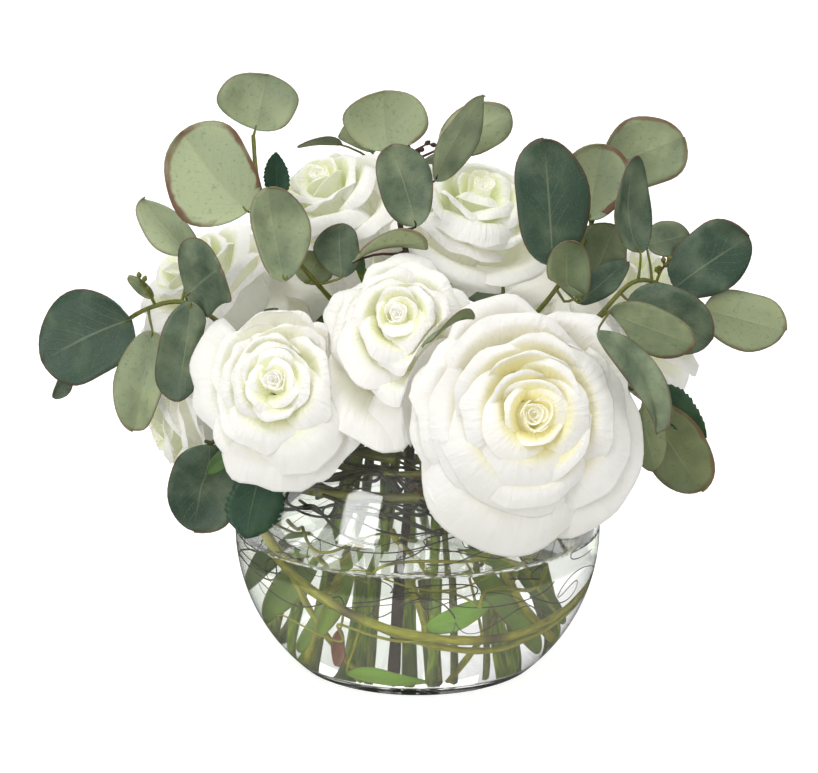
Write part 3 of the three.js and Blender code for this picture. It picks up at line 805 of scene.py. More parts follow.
@dataclass(frozen=True)
class LeafFinish:
    """A leaf's colours."""

    name: str
    dark: str = "#364f3d"
    pale: str = "#b2bd94"
    olive: str = "#7c8550"
    powder: str = "#889a84"
    rib: str = "#a3ac88"
    margin: str = "#6e3a2a"
    haze: float = 0.3
    veins: float = 7.0
    gloss: float = 0.35

    @functools.cached_property
    def material(self) -> bpy.types.Material:
        """Makes the material once.

        Returns:
            The material.
        """
        material, w, shader = blank_material(self.name)
        pattern = w.add("Group", node_tree=leaf_group())
        for key in LEAF_SHADES:
            pattern.inputs[key].default_value = colour(getattr(self, key.lower()))
        set_up(pattern, Haze=self.haze, Veins=self.veins)
        w.feed(shader.inputs["Base Color"], pattern.outputs["Color"])
        w.feed(shader.inputs["Roughness"], pattern.outputs["Roughness"])
        w.relief(shader, pattern.outputs["Height"], 0.4, 0.0006)
        set_up(shader, Specular_IOR_Level=self.gloss, Subsurface_Weight=0.06, Subsurface_Scale=0.002)
        return material


@dataclass(frozen=True)
class StalkFinish:
    """A stem, twig or vine in two colours, with darker joints, and a painted shade where the stems gather
    under the blooms.
    """

    name: str
    main: str
    streak: str
    joint: str
    gloss: float = 0.4
    roughness: float = 0.5
    # painted shade: its colour, and the heights over which it darkens the stems under the blooms
    painted_neck_shade: str = "#20260f"
    painted_shade_foot: tuple[float, float] = (0.074, 0.1)
    painted_shade_top: tuple[float, float] = (0.2, 0.16)
    painted_shade_share: float = 0.72
    grain: tuple[float, float] = (1100.0, 0.5)

    def face(self, w: Wiring, fibre: Socket) -> Socket:
        """Paints the bark: streaks, patches and joints, and a painted shade on the neck where the blooms
        above shade it.

        Args:
            w: The material's wiring.
            fibre: The noise of its streaks.

        Returns:
            Its colour.
        """
        face = w.mix(w.ramp(fibre, 0.38, 0.66), colour(self.main), colour(self.streak))
        face = w.mix(w.ramp(w.noise(45.0, 3.0), 0.55, 0.72, 0.0, 0.7), face, colour(self.joint))
        face = w.mix(w.mark("red"), face, colour(self.joint))
        # painted shade: darkens the stems between these heights, where the blooms above shade them
        height_up = w.add("SeparateXYZ", {"Vector": w.add("TexCoord").outputs["Object"]}).outputs["Z"]
        painted_shade_mask = w.times(w.ramp(height_up, *self.painted_shade_foot),
                        w.ramp(height_up, *self.painted_shade_top, 0.0, self.painted_shade_share))
        return w.mix(painted_shade_mask, face, colour(self.painted_neck_shade))

    @functools.cached_property
    def material(self) -> bpy.types.Material:
        """Makes the material once.

        Returns:
            The material.
        """
        material, w, shader = blank_material(self.name)
        around, along = w.map_place()
        streaks = w.add("CombineXYZ", {"X": w.times(around, 6.0), "Y": w.times(along, 9.0)}).outputs[0]
        fibre = w.noise(1.6, 4.0, streaks)
        grain = w.grain(*self.grain)
        rough = w.ramp(grain.outputs["Mask"], 0.3, 0.7, self.roughness - 0.08, self.roughness + 0.1)
        w.feed(shader.inputs["Base Color"], self.face(w, fibre))
        w.feed(shader.inputs["Roughness"], rough)
        w.relief(shader, w.maths("ADD", w.times(fibre, 0.8), grain.outputs["Height"]), 0.4, 0.0005)
        set_up(shader, Specular_IOR_Level=self.gloss)
        return material


@dataclass(frozen=True)
class ClearFinish:
    """Clear glass or set water that lets lamp light through, with a painted shade at its limb; the water also
    takes a painted reflection and painted glints.
    """

    name: str
    tint: str
    ior: float
    # painted shade at the limb: how strong, and its colour
    painted_limb_shade: float
    painted_limb_tint: str
    # painted reflection under the water's surface: its strength and colour; glint: the strength of the
    # painted highlight along the water's edge
    painted_band: float = 0.0
    painted_band_tint: str = "#8b9084"
    glint: float = 0.9

    def painted_band_and_glints(self, w: Wiring, shader: bpy.types.Node, tint: Socket) -> Socket:
        """Adds a painted reflection, a darker stripe under the water's surface, and painted glints that glow
        along its edge.

        Args:
            w: The material's wiring.
            shader: Its shader, which glows at the glints.
            tint: Its colour.

        Returns:
            The colour with the band.
        """
        mark = w.mark("edge")
        # painted highlight: white emission in glints along the water's edge
        glint = w.times(w.ramp(mark, 1.2, 2.0), w.ramp(w.noise(220.0), 0.4, 0.7, 0.15, 1.0))
        w.feed(shader.inputs["Emission Color"], w.mix(glint, colour(BLACK), colour(WHITE)))
        set_up(shader, Emission_Strength=self.glint)
        return w.mix(w.times(w.ramp(mark, 0.0, 1.0), self.painted_band), tint, colour(self.painted_band_tint))

    @functools.cached_property
    def material(self) -> bpy.types.Material:
        """Makes the material once.

        Returns:
            The material.
        """
        material, w, shader = blank_material(self.name)
        facing = w.add("LayerWeight", {"Blend": 0.35}).outputs["Facing"]
        middle = w.mix(w.ramp(w.noise(9.0), 0.4, 0.7), colour(self.tint), colour(WHITE))
        # painted shade: the tint darkens towards the limb, where darker things would be seen bent and
        # mirrored
        tint = w.mix(w.ramp(facing, 0.42, 0.97, 0.0, self.painted_limb_shade), middle, colour(self.painted_limb_tint))
        if self.painted_band:
            tint = self.painted_band_and_glints(w, shader, tint)
        w.feed(shader.inputs["Base Color"], tint)
        set_up(shader, IOR=self.ior, Transmission_Weight=1.0, Metallic=0.0, Roughness=0.0)
        clear = w.add("BsdfTransparent")
        shadow = w.add("LightPath").outputs["Is Shadow Ray"]
        blend = w.add("MixShader", {0: shadow, 1: shader.outputs[0], 2: clear.outputs[0]})
        output = next(n for n in material.node_tree.nodes if n.type == "OUTPUT_MATERIAL")
        w.feed(output.inputs["Surface"], blend.outputs[0])
        return material


@dataclass(frozen=True)
class FloorFinish:
    """The pale studio floor, brighter where the camera sees it than in the light that it gives."""

    name: str = "studio_floor"
    paints: tuple[str, str] = ("#cdcdcb", "#d3d3d1")
    lights: tuple[str, str] = ("#f8f8f7", "#fbfbfa")
    light_given: float = 0.06
    light_seen: float = 0.72

    @functools.cached_property
    def material(self) -> bpy.types.Material:
        """Makes the material once.

        Returns:
            The material.
        """
        material, w, shader = blank_material(self.name)
        clouds = w.noise(3.0)
        w.feed(shader.inputs["Base Color"], w.mix(clouds, *map(colour, self.paints)))
        w.feed(shader.inputs["Emission Color"], w.mix(clouds, *map(colour, self.lights)))
        strength = w.ramp(w.seen(), 0.0, 1.0, self.light_given, self.light_seen)
        w.feed(shader.inputs["Emission Strength"], strength)
        set_up(shader, Roughness=0.8, Specular_IOR_Level=0.1)
        return material


LIME_PETAL = PetalFinish("petal_lime_heart", "#fdfcf4", "#e4e7b2", 0.4, painted_glow=0.1)
CREAM_PETAL = PetalFinish("petal_cream_heart", "#fbf6d8", "#e8e09c", 0.36, painted_glow=0.08, spread=0.08)
GREEN_PETAL = PetalFinish("petal_green_base", "#f5f5e0", "#e0e6b8", 0.5, painted_glow=0.13)
EUCALYPTUS_DARK = LeafFinish("eucalyptus_dark_leaf")
EUCALYPTUS_PALE = LeafFinish("eucalyptus_pale_leaf", haze=0.25)
ROSE_LEAF = LeafFinish("rose_leaf", dark="#1f4630", pale="#5f8547", olive="#56752f", powder="#5d7f62",
                       rib="#6f9160", margin="#2c4a2a", haze=0.15, veins=9.0, gloss=0.5)
VINE_LEAF_FINISH = LeafFinish("vine_leaf", dark="#4a6e14", pale="#84b432", olive="#808a1c", powder="#7f9a3a",
                              rib="#93ad5c", margin="#84402e", haze=0.1, gloss=0.5)
ROSE_STALK = StalkFinish("rose_stalk", "#5d7812", "#96a424", "#3f4c0e")
EUCALYPTUS_STALK = StalkFinish("eucalyptus_stalk", "#5c6626", "#828038", "#54391e")
DARK_TWIG = StalkFinish("dark_twig", "#3a241a", "#4c3222", "#20130e", roughness=0.62)
VINE_BARK = StalkFinish("vine_bark", "#888614", "#a8a42c", "#4c3e14", roughness=0.4)
TENDRIL = StalkFinish("tendril", "#3a2c1e", "#4c3a26", "#231910", roughness=0.6)
CLEAR_GLASS = ClearFinish("clear_glass", "#fcfefd", 1.5, 0.5, "#8c9386")
SET_WATER = ClearFinish("set_water", "#fafdf2", 1.33, 0.9, "#4e5626", 0.75)


# ---------------------------------------------------------------- the bowl and its water


@dataclass
class Bowl:
    """The clear glass bubble bowl."""

    radius: float = BOWL_RADIUS
    centre_height: float = BOWL_CENTRE_HEIGHT
    rim_height: float = BOWL_RIM_HEIGHT
    wall: float = BOWL_WALL
    base: float = BOWL_BASE
    sides: int = 144
    foot_height: float = 1.2
    foot_rise: float = 0.6
    floor_curve: float = 0.8
    floor_edge: float = 5.0

    def arc(self, radius: float, low: float, high: float, steps: int) -> Points:
        """Gives points of radius and height up a sphere about the bowl's centre.

        Args:
            radius: The sphere's radius.
            low: The height that it starts at.
            high: The height that it ends at.
            steps: How many steps it takes.

        Returns:
            The points.
        """
        ends = [math.asin((h - self.centre_height) / radius) for h in (low, high)]
        angles = np.linspace(ends[0], ends[1], steps + 1)
        return np.column_stack([radius * np.cos(angles), self.centre_height + radius * np.sin(angles)])

    def profile(self) -> Points:
        """Draws the wall's section, from the middle of the underside round the rim to the middle inside.

        Returns:
            Points of radius and height.
        """
        outside = self.arc(self.radius, self.foot_height, self.rim_height, 60)
        inside = self.arc(self.radius - self.wall, self.base + self.floor_curve, self.rim_height, 56)[::-1]
        middle = (outside[-1] + inside[0]) / 2
        across = (inside[0] - outside[-1]) / 2
        lift = vec((0.0, self.wall / 2))
        turns = np.linspace(0, math.pi, 9)[1:-1, None]
        rim = middle - across * np.cos(turns) + lift * np.sin(turns)
        foot_radius, floor_radius = outside[0, 0], inside[-1, 0]
        foot = np.array([[0, self.foot_rise], [foot_radius / 2, 0.5], [foot_radius - 9, 0.2],
                         [foot_radius - 5, 0.0], [foot_radius - 2, 0.25]])
        floor = np.array([[floor_radius - self.floor_edge, self.base + 0.2], [floor_radius / 2, self.base],
                          [0, self.base]])
        return np.vstack([foot, outside, rim, inside, floor])

    def build(self) -> None:
        """Makes the bowl."""
        sheets = Sheets()
        sheets.lathe(self.profile(), self.sides)
        piece = sheets.make("bubble_bowl", [CLEAR_GLASS.material])
        hand_over(piece, "bowl_glass", "glass_bowl")


@dataclass
class SetWater:
    """The clear set water in the bowl, which grips the glass and the stems."""

    bowl: Bowl
    level: float = WATER_LEVEL
    into_glass: float = 0.4
    into_floor: float = 0.3
    creep: float = 0.6
    creep_width: float = 5.0
    # painted reflection: how deep the darker stripe under the surface reaches and how it fades; glint_mark:
    # where the painted highlight runs
    painted_band_depth: float = 14.0
    painted_band_fade: float = 4.0
    glint_mark: float = 2.0

    def build(self) -> None:
        """Makes the water, with its edge crept up the glass."""
        reach = self.bowl.radius - self.bowl.wall + self.into_glass
        foot = self.bowl.base - self.into_floor
        side = self.bowl.arc(reach, foot, self.level + self.creep, 48)
        steps = np.linspace(0, 1, 8)[1:, None]
        edge = np.column_stack([side[-1, 0] - self.creep_width * steps**1.5,
                                self.level + self.creep * (1 - steps) ** 2])
        top = np.array([[70, self.level], [40, self.level], [0, self.level]])
        bottom = np.array([[0, foot], [side[0, 0] * 0.6, foot]])
        profile = np.vstack([bottom, side, edge, top])
        # painted reflection under the surface, and the painted highlight at its edge with the glass
        painted_band_foot = self.level - self.painted_band_depth
        painted_band = smoothstep(profile[:, 1], painted_band_foot, painted_band_foot + self.painted_band_fade)
        surface = len(bottom) + len(side)
        painted_band[surface:] = 0.0
        painted_band[surface - 1 : surface + 1] = self.glint_mark
        sheets = Sheets()
        sheets.lathe(profile, self.bowl.sides, painted_band)
        piece = sheets.make("set_water_block", [SET_WATER.material])
        hand_over(piece, "set_water", "water")


# ---------------------------------------------------------------- stems


def neck_point(neck: tuple[float, float], height: float) -> Points:
    """Gives a stem's place at a height, on its straight line through the neck.

    Args:
        neck: Its place in the neck, in degrees and millimetres from the middle.
        height: The height.

    Returns:
        The point.
    """
    drop = NECK_HEIGHT - height
    angle = math.radians(neck[0])
    out = neck[1] * vec((math.cos(angle), math.sin(angle), 0))
    place = out * (1 + NECK_SPREAD_PER_MM * drop) + vec((out[1], -out[0], 0)) * NECK_TWIST_PER_MM * drop
    place[2] = height
    return place


def stem_route(neck: tuple[float, float], onward: Sequence[Sequence[float]], rooms: Sequence[Room],
               clearance: float, steps: int) -> Points:
    """Gives a stem's route: straight up through the water to the neck, then by the given points.

    Args:
        neck: Its place in the neck, in degrees and millimetres from the middle.
        onward: The points above the neck.
        rooms: The rooms that it bends clear of.
        clearance: How far it keeps from them.
        steps: How many steps it takes above the neck.

    Returns:
        The points along it.
    """
    above = course([neck_point(neck, NECK_HEIGHT + NECK_BEND), *onward], steps)
    above[1:-1] = bent_clear(above[1:-1], rooms, clearance)
    for _ in range(2):
        above[1:-1] = (above[:-2] + 2 * above[1:-1] + above[2:]) / 4
    heights = np.linspace(STEM_FOOT_HEIGHT, NECK_HEIGHT - NECK_BEND, STRAIGHT_STEM_POINTS)
    return np.vstack([[neck_point(neck, height) for height in heights], above])


# ---------------------------------------------------------------- leaves


class Outline(Enum):
    """A leaf's outline: where it is widest, and how square its ends are."""

    DISC = (0.5, 2.2)
    ROUND = (0.55, 2.2)
    OVAL = (0.54, 2.0)
    LONG = (0.45, 1.7)


@dataclass(frozen=True)
class Leaf:
    """One leaf's place, shape and colouring."""

    base: Triple
    tip: Triple
    width: float
    outline: Outline = Outline.OVAL
    tone: float = 0.3
    red: float = 0.15
    olive: float = 0.0
    roll: float = 0.0
    fold: float = 0.08
    faces: Triple = VIEWER
    toothed: bool = False
    stalked: bool = True


def nearest_on(route: Points, point: Points) -> Points:
    """Gives the point of a route that is nearest to another point."""
    fine = np.concatenate([np.linspace(a, b, 6, endpoint=False) for a, b in zip(route[:-1], route[1:])])
    return fine[np.argmin(np.linalg.norm(fine - point, axis=1))]


@dataclass
class Foliage:
    """Grows leaves on a stem."""

    rooms: Sequence[Room]
    rng: np.random.Generator
    thickness: float = 0.7
    thinnest: float = 0.5
    smooth_grid: tuple[int, int] = (19, 11)
    toothed_grid: tuple[int, int] = (43, 9)
    teeth: int = 12
    tooth_depth: float = 0.14
    petiole_radius: float = 0.75
    petiole_reach: float = 0.067
    petiole_clearance: float = 0.8
    twig_radii: tuple[float, float] = (0.9, 0.5)
    buds: int = 5
    bud_length: float = 5.5
    bud_radii: tuple[float, ...] = (0.4, 0.4, 0.45, 0.7, 1.2, 1.45, 1.3, 0.9, 0.4)

    def sprig(self, sheets: Sheets, place: Triple, route: Points, slot: int) -> None:
        """Adds a short twig with small buds.

        Args:
            sheets: Where it goes.
            place: Where its tip is.
            route: The stem that it grows from.
            slot: Its material.
        """
        tip = vec(place)
        root = nearest_on(route, tip)
        way = unit(tip - root)
        path = course([root, (root + tip) / 2 + UP, tip], 12)
        sheets.tube(path, np.linspace(*self.twig_radii, len(path)), 8, slot)
        for number in range(self.buds):
            start = path[4 + 2 * number]
            end = start + self.bud_length * unit(way + 0.9 * unit(self.rng.normal(size=3)))
            sheets.tube(np.linspace(start, end, len(self.bud_radii)), vec(self.bud_radii), 8, slot)

    def outline(self, leaf: Leaf, u: Points, v: Points) -> tuple[Points, Points, Points]:
        """Draws a leaf's outline, a little uneven, and toothed where the leaf is.

        Args:
            leaf: The leaf.
            u: The places across it, from -1 to 1.
            v: The places up it, from 0 to 1.

        Returns:
            How near each point is to the leaf's ends, half the width there, and the leaf's random phases.
        """
        widest, square = leaf.outline.value
        middle = widest + self.rng.uniform(-0.13, 0.13) * u
        off = np.abs((v - middle) / np.where(v < middle, middle, 1 - middle)) ** square
        half = leaf.width / 2 * np.clip(1 - off, 0, 1) ** (0.8 if leaf.toothed else 0.5)
        if leaf.toothed:
            half = half * (1 + self.tooth_depth * (np.abs(u) > 0.9) * (0.5 - (v * self.teeth) % 1))
        phases = self.rng.uniform(0, 6.3, 6)
        lopsided = self.rng.uniform(-0.1, 0.1) * u
        half = half * (1 + lopsided + 0.065 * np.sin(6.5 * v + phases[0] + 1.3 * u))
        return off, np.maximum(half, self.thinnest), phases

    def relief(self, leaf: Leaf, length: float, half: Points, u: Points, v: Points, phases: Points) -> Points:
        """Gives how far a leaf's points stand off its plane: folded, bowed, waved, twisted, one side turned.

        Args:
            leaf: The leaf.
            length: Its length.
            half: Half its width at each point.
            u: The places across it, from -1 to 1.
            v: The places up it, from 0 to 1.
            phases: Its random phases.

        Returns:
            The distances, in millimetres.
        """
        rng = self.rng
        lift = -leaf.fold * 2 * half * (1 - u**2) - 0.06 * length * v**2
        lift = lift + 0.045 * length * np.sin(rng.uniform(3, 5) * v + phases[1]) * u * np.abs(u)
        lift = lift + 0.012 * length * np.sin(rng.uniform(7, 11) * v + phases[2]) * np.abs(u) ** 3
        lift = lift + rng.uniform(-0.3, 0.3) * (v - 0.4) * u * half
        return lift + rng.uniform(-0.3, 0.1) * half * smoothstep(u * rng.choice([-1, 1]), 0.45, 1.1)

    def grow(self, sheets: Sheets, leaf: Leaf, route: Points, slots: tuple[int, int, int]) -> None:
        """Adds a leaf with its stalk.

        Args:
            sheets: Where it goes.
            leaf: What it is.
            route: The stem that it grows from.
            slots: The materials of a smooth leaf, a toothed leaf and a stalk.
        """
        base, tip = vec(leaf.base), vec(leaf.tip)
        along = unit(tip - base)
        length = np.linalg.norm(tip - base)
        across = unit(np.cross(along, vec(leaf.faces)))
        across = turned_about(across, along, math.radians(leaf.roll))
        normal = np.cross(across, along)
        rows, columns = self.toothed_grid if leaf.toothed else self.smooth_grid
        t = np.linspace(0, 1, rows)[:, None]
        v = t if leaf.toothed else (1 - np.cos(math.pi * t)) / 2
        u = np.linspace(-1, 1, columns)[None, :]
        off, half, phases = self.outline(leaf, u, v)
        lift = self.relief(leaf, length, half, u, v, phases)
        bow = 0.03 * length * self.rng.uniform(-1, 1) * np.sin(math.pi * v)
        grid = base + along * (v * length)[..., None] + across * (u * half + bow)[..., None]
        grid = grid + normal * lift[..., None]
        moved = bent_clear(grid, self.rooms, CLEAR_OF_BLOOMS)
        near_end = np.minimum(off, 1)
        edge = np.sqrt(u**2 * (1 - near_end) + near_end) * smoothstep(v, 0.0, 0.12)
        sheets.sheet(eased(grid, moved, 1), self.thickness, sheet_map(u, v), slots[1 if leaf.toothed else 0],
                     edge=edge, tone=leaf.tone, red=leaf.red, olive=leaf.olive)
        if leaf.stalked:
            end = base + along * self.petiole_reach * length + normal * lift[3, columns // 2]
            self.petiole(sheets, nearest_on(route, base), base, end, normal, slots[2])

    def petiole(self, sheets: Sheets, root: Points, base: Points, end: Points, normal: Points,
                slot: int) -> None:
        """Adds a leaf's stalk.

        Args:
            sheets: Where it goes.
            root: Where it leaves the stem.
            base: Where it meets the leaf.
            end: How far it runs on under the leaf.
            normal: The way that the leaf's face looks.
            slot: Its material.
        """
        bend = (root + base) / 2 + normal * 0.6 - UP * 0.4
        path = course([root, bend, base, end], 10)
        radii = self.petiole_radius * np.linspace(1.15, 0.55, len(path))
        sheets.tube(bent_clear(path, self.rooms, self.petiole_clearance), radii, 8, slot)


# ---------------------------------------------------------------- roses


@dataclass(frozen=True)
class Rose:
    """Where a rose is and how it is made up: sag and rise draw its petals out downwards and upwards."""

    name: str
    calyx: Triple
    faces: Triple
    span: float
    depth: float
    turn: float
    sag: float
    layers: int
    outer: int
    neck: tuple[float, float]
    finish: PetalFinish
    inner: int = 17
    opened: float = 0.87
    tips: tuple["Leaf", ...] = ()
    rise: float = 0.0

    @functools.cached_property
    def axis(self) -> Points:
        """The way that the bloom faces."""
        return unit(vec(self.faces))

    @functools.cached_property
    def room(self) -> Room:
        """Works out the room that the bloom takes, a little more than the bloom itself.

        Returns:
            The room.
        """
        side = unit(np.cross(UP, self.axis))
        drop = unit(np.cross(side, self.axis))
        radius = 0.54 * self.span
        shift = 0.45 * self.sag * radius * abs(drop[2])
        centre = vec(self.calyx) + 0.54 * self.depth * self.axis + drop * math.copysign(shift, -drop[2])
        sizes = vec((0.6 * self.depth, radius, radius + shift))
        return Room(centre, np.array([self.axis, side, drop]), sizes)

    def place(self, distance: Points, angle: Points, height: Points) -> Points:
        """Gives points about the bloom's axis.

        Args:
            distance: How far they are from the axis.
            angle: Where they are round it, in radians.
            height: How far they are up it.

        Returns:
            The points.
        """
        across = turned_about(unit(np.cross(UP, self.axis)), self.axis, math.radians(self.turn))
        other = np.cross(self.axis, across)
        out = np.cos(angle)[..., None] * across + np.sin(angle)[..., None] * other
        stretch = self.sag * np.maximum(0, -out[..., 2]) + self.rise * np.maximum(0, out[..., 2])
        reach = distance * (1 + stretch * np.minimum(1, 2 * distance / self.span))
        return vec(self.calyx) + out * reach[..., None] + self.axis * height[..., None]


ROSES = (
    Rose("front_right", (49, -68, 158), (0.14, -0.94, 0.3), 128, 58, 20, 0.14, 4, 5, (-70, 33), CREAM_PETAL,
         23, 0.84),
    Rose("front_centre", (-9, -46, 190), (-0.02, -0.86, 0.51), 84, 54, 130, 0.75, 3, 5, (-112, 25),
         LIME_PETAL, 17, 0.8),
    Rose("front_left", (-70, -55, 166), (-0.06, -0.93, 0.36), 100, 50, 65, 0.25, 3, 5, (205, 32), LIME_PETAL,
         21, 0.7, (Leaf((-92, -62, 142), (-111, -68, 126), 10, Outline.LONG, 0.9, 0.0, 0.9),
                   Leaf((-62, -60, 146), (-40, -66, 132), 15, Outline.LONG, 0.9, 0.0, 0.9)), 0.28),
    Rose("top_right", (22, 12, 226), (0.28, -0.48, 0.83), 92, 52, 0, 0, 3, 4, (25, 18), GREEN_PETAL),
    Rose("top_left", (-38, 24, 230), (-0.36, -0.34, 0.87), 82, 50, 40, 0, 3, 4, (108, 18), GREEN_PETAL),
    Rose("left", (-98, 6, 190), (-0.55, -0.2, 0.81), 90, 52, 80, 0, 3, 4, (150, 27), GREEN_PETAL),
    Rose("right", (94, 4, 182), (0.8, -0.16, 0.55), 98, 56, 100, 0.1, 3, 4, (-20, 29), GREEN_PETAL),
    Rose("low_left", (-103, -14, 150), (-0.9, -0.24, -0.3), 78, 44, 15, 0, 3, 3, (170, 33), GREEN_PETAL),
    Rose("back_centre", (-2, 62, 198), (0.02, 0.8, 0.6), 92, 50, 55, 0.1, 3, 3, (65, 26), LIME_PETAL),
    Rose("back_left", (-60, 50, 166), (-0.6, 0.76, 0.2), 90, 50, 95, 0.1, 3, 3, (122, 33), LIME_PETAL),
    Rose("back_right", (60, 50, 166), (0.62, 0.74, 0.16), 90, 50, 25, 0.1, 3, 3, (12, 33), LIME_PETAL),
)


@dataclass
class Bloom:
    """One rose's petals, in layers round a tight heart."""

    rose: Rose
    before: Sequence[Room]
    seed: int
    petal_thickness: float = 0.5
    rim_thinning: float = 0.65
    tuck: float = 9.0
    heart_petals: int = 6
    heart_thinning: float = 0.85
    inner_share: float = 0.13
    outer_share: float = 0.88
    small_petals_to: float = 0.3
    small_grid: tuple[int, int] = (20, 19)
    large_grid: tuple[int, int] = (24, 21)
    core_height: tuple[float, float] = (0.1, 0.86)
    core_radii: tuple[float, ...] = (0.02, 0.03, 0.04, 0.04, 0.04, 0.04, 0.04, 0.04, 0.04, 0.04, 0.032, 0.014)
    rng: np.random.Generator = field(init=False)
    shift: Points = field(init=False)

    def __post_init__(self) -> None:
        """Seeds the bloom's own random numbers and sets its heart a little off the middle."""
        self.rng = np.random.default_rng(self.seed)
        angle = self.rng.uniform(0, 2 * math.pi)
        self.shift = 0.05 * self.rose.span / 2 * vec((math.cos(angle), math.sin(angle)))

    def pressed(self, grid: Points, share: float, u: Points) -> Points:
        """Keeps a petal in the bloom's room, each layer inside the next, and out of the bowl.

        Blooms that press together tuck in behind each other.

        Args:
            grid: The petal's points.
            share: How far out it is.
            u: The places across it, from -1 to 1.

        Returns:
            The moved points.
        """
        inset = LAYER_INSET * (self.rose.layers - 1) * (1 - share) + EDGE_INSET * (1 - u)
        inset = np.broadcast_to(inset, grid.shape[:2])
        moved = self.rose.room.kept(grid, 0.3 + inset)
        moved = bent_clear(moved, self.before, CLEAR_OF_BLOOMS - self.tuck + inset)
        moved = bent_clear(moved, [BOWL_ROOM], CLEAR_OF_BLOOMS + inset)
        return eased(grid, moved, 2)

    def placed(self, distance: Points, angle: Points, height: Points, share: float) -> Points:
        """Places points on the bloom, with the inner layers shifted with the heart.

        Args:
            distance: How far they are from the bloom's axis.
            angle: Where they are round it, in radians.
            height: How far they are up it.
            share: How far out their layer is.

        Returns:
            The points.
        """
        shift = self.shift * (1 - share) ** 1.5
        x, y = distance * np.cos(angle) + shift[0], distance * np.sin(angle) + shift[1]
        return self.rose.place(np.hypot(x, y), np.arctan2(y, x), height)

    def section(self, share: float, lip: float) -> tuple[Points, Points]:
        """Draws a petal's section: cup, throat, the top of its rim and the lip rolled back from it.

        Args:
            share: How far out its layer is.
            lip: How strongly its lip is rolled.

        Returns:
            The distance from the axis and the height at even steps up the petal, in millimetres.
        """
        top = (0.07 + (self.rose.opened - 0.07) * share, 1.0 - 0.05 * share - 0.42 * share**2.2)
        throat = (top[0] - 0.05 - 0.12 * share, top[1] - 0.18 + 0.06 * share)
        cup = (0.1 + 0.48 * share + 0.06 * share**2, 0.5 - 0.4 * share)
        base = (0.1 + 0.04 * share, 0.1 - 0.04 * share)
        over = (top[0] + (0.02 + 0.045 * share) * lip, top[1] + 0.008 - (0.002 + 0.008 * share) * lip**2)
        end = (top[0] + (0.045 + 0.1 * share) * lip, top[1] + 0.01 - (0.006 + 0.045 * share) * lip**2)
        drawn = course([base, cup, throat, top, over, end], 60)
        return drawn[:, 0] * self.rose.span / 2, drawn[:, 1] * self.rose.depth

    def cupped(self, share: float, middle: float, u: Points, t: Points) -> tuple[Points, Points]:
        """Sweeps a petal's section sideways, in and down towards its edges, with a lean of its own.

        Args:
            share: How far out it is.
            middle: The angle of its middle round the bloom's axis, in radians.
            u: The places across it, from -1 to 1.
            t: The places up it, from 0 to 1.

        Returns:
            The distance from the axis and the height of each point.
        """
        rng = self.rng
        away = self.rose.place(vec([9.0]), vec([middle]), vec([0.0]))[0] - vec(self.rose.calyx)
        raised = float(unit(away)[2])
        out, up = self.section(share, rng.uniform(0.4, 1.8) * (1 - 0.4 * raised))
        steps = np.linspace(0, 1, len(out))
        low, high = out[0], up[0]
        lean = rng.uniform(-0.09, 0.07) - 0.03 * raised
        side = np.abs(u) ** rng.uniform(1.8, 2.8)
        out = np.interp(t, steps, out) * (1 + lean * t**2)
        up = np.interp(t, steps, up) * (1 - 0.5 * lean * t**2)
        out = low + (out - low) * (1 - (0.03 + 0.2 * share**2) * side)
        up = high + (up - high) * (1 - (0.24 - 0.06 * share) * side)
        return out, up

    def waved(self, out: Points, up: Points, share: float, u: Points, t: Points) -> tuple[Points, Points]:
        """Waves a petal's lip, broadly and finely, and pinches some petals to a point.

        Args:
            out: The distance of each point from the axis.
            up: The height of each point.
            share: How far out the petal is.
            u: The places across it, from -1 to 1.
            t: The places up it, from 0 to 1.

        Returns:
            The new distances and heights.
        """
        rng = self.rng
        rise = t**3
        size = 0.45 + 2.1 * share
        phase = rng.uniform(0, 6.3, 4)
        out = out + size * rise * np.sin(rng.uniform(1.4, 2.8) * u + phase[0])
        up = up + size * rise * np.sin(rng.uniform(1.6, 3.4) * u + phase[1])
        up = up + 0.3 * size * rise * np.sin(rng.uniform(6, 9) * u + phase[2])
        out = out + 0.4 * size * t**6 * np.sin(rng.uniform(8, 13) * u + phase[3])
        up = up + 0.16 * size * t**8 * np.sin(rng.uniform(13, 17) * u + phase[0])
        out = out + 0.3 * size * t**2 * np.sin(rng.uniform(3.5, 5.5) * u + 3 * t + phase[3])
        pinch = rng.choice([0.0, 1.0]) * share * np.exp(-(((u - rng.uniform(-0.3, 0.3)) / 0.13) ** 2))
        out = out + self.rose.span / 2 * 0.06 * pinch * t**5
        up = up - self.rose.depth * 0.04 * pinch * t**2
        return out, up

    def petal(self, sheets: Sheets, share: float, middle: float, half_width: float) -> None:
        """Adds one petal.

        Args:
            sheets: Where it goes.
            share: How far out it is.
            middle: The angle of its middle round the bloom's axis, in radians.
            half_width: How far it reaches to either side, in radians.
        """
        rows, columns = self.large_grid if share > self.small_petals_to else self.small_grid
        u = np.linspace(-1, 1, columns)[None, :]
        t = (1 - (1 - np.linspace(0, 1, rows)) ** 1.2)[:, None]
        out, up = self.cupped(share, middle, u, t)
        out, up = self.waved(out, up, share, u, t)
        spread = half_width * (0.42 + 0.58 * np.minimum(1, t / 0.5))
        skew = self.rng.uniform(-0.09, 0.09) * t**2
        grid = self.placed(np.maximum(out, 1.0), middle + u * spread + skew, up, share)
        edge = np.maximum(np.abs(u) + 0 * t, t + 0 * u)
        thickness = self.petal_thickness * (1 - self.rim_thinning * smoothstep(edge, 0.84, 1.0))
        sheets.sheet(self.pressed(grid, share, u), thickness, sheet_map(u, t), share=share)

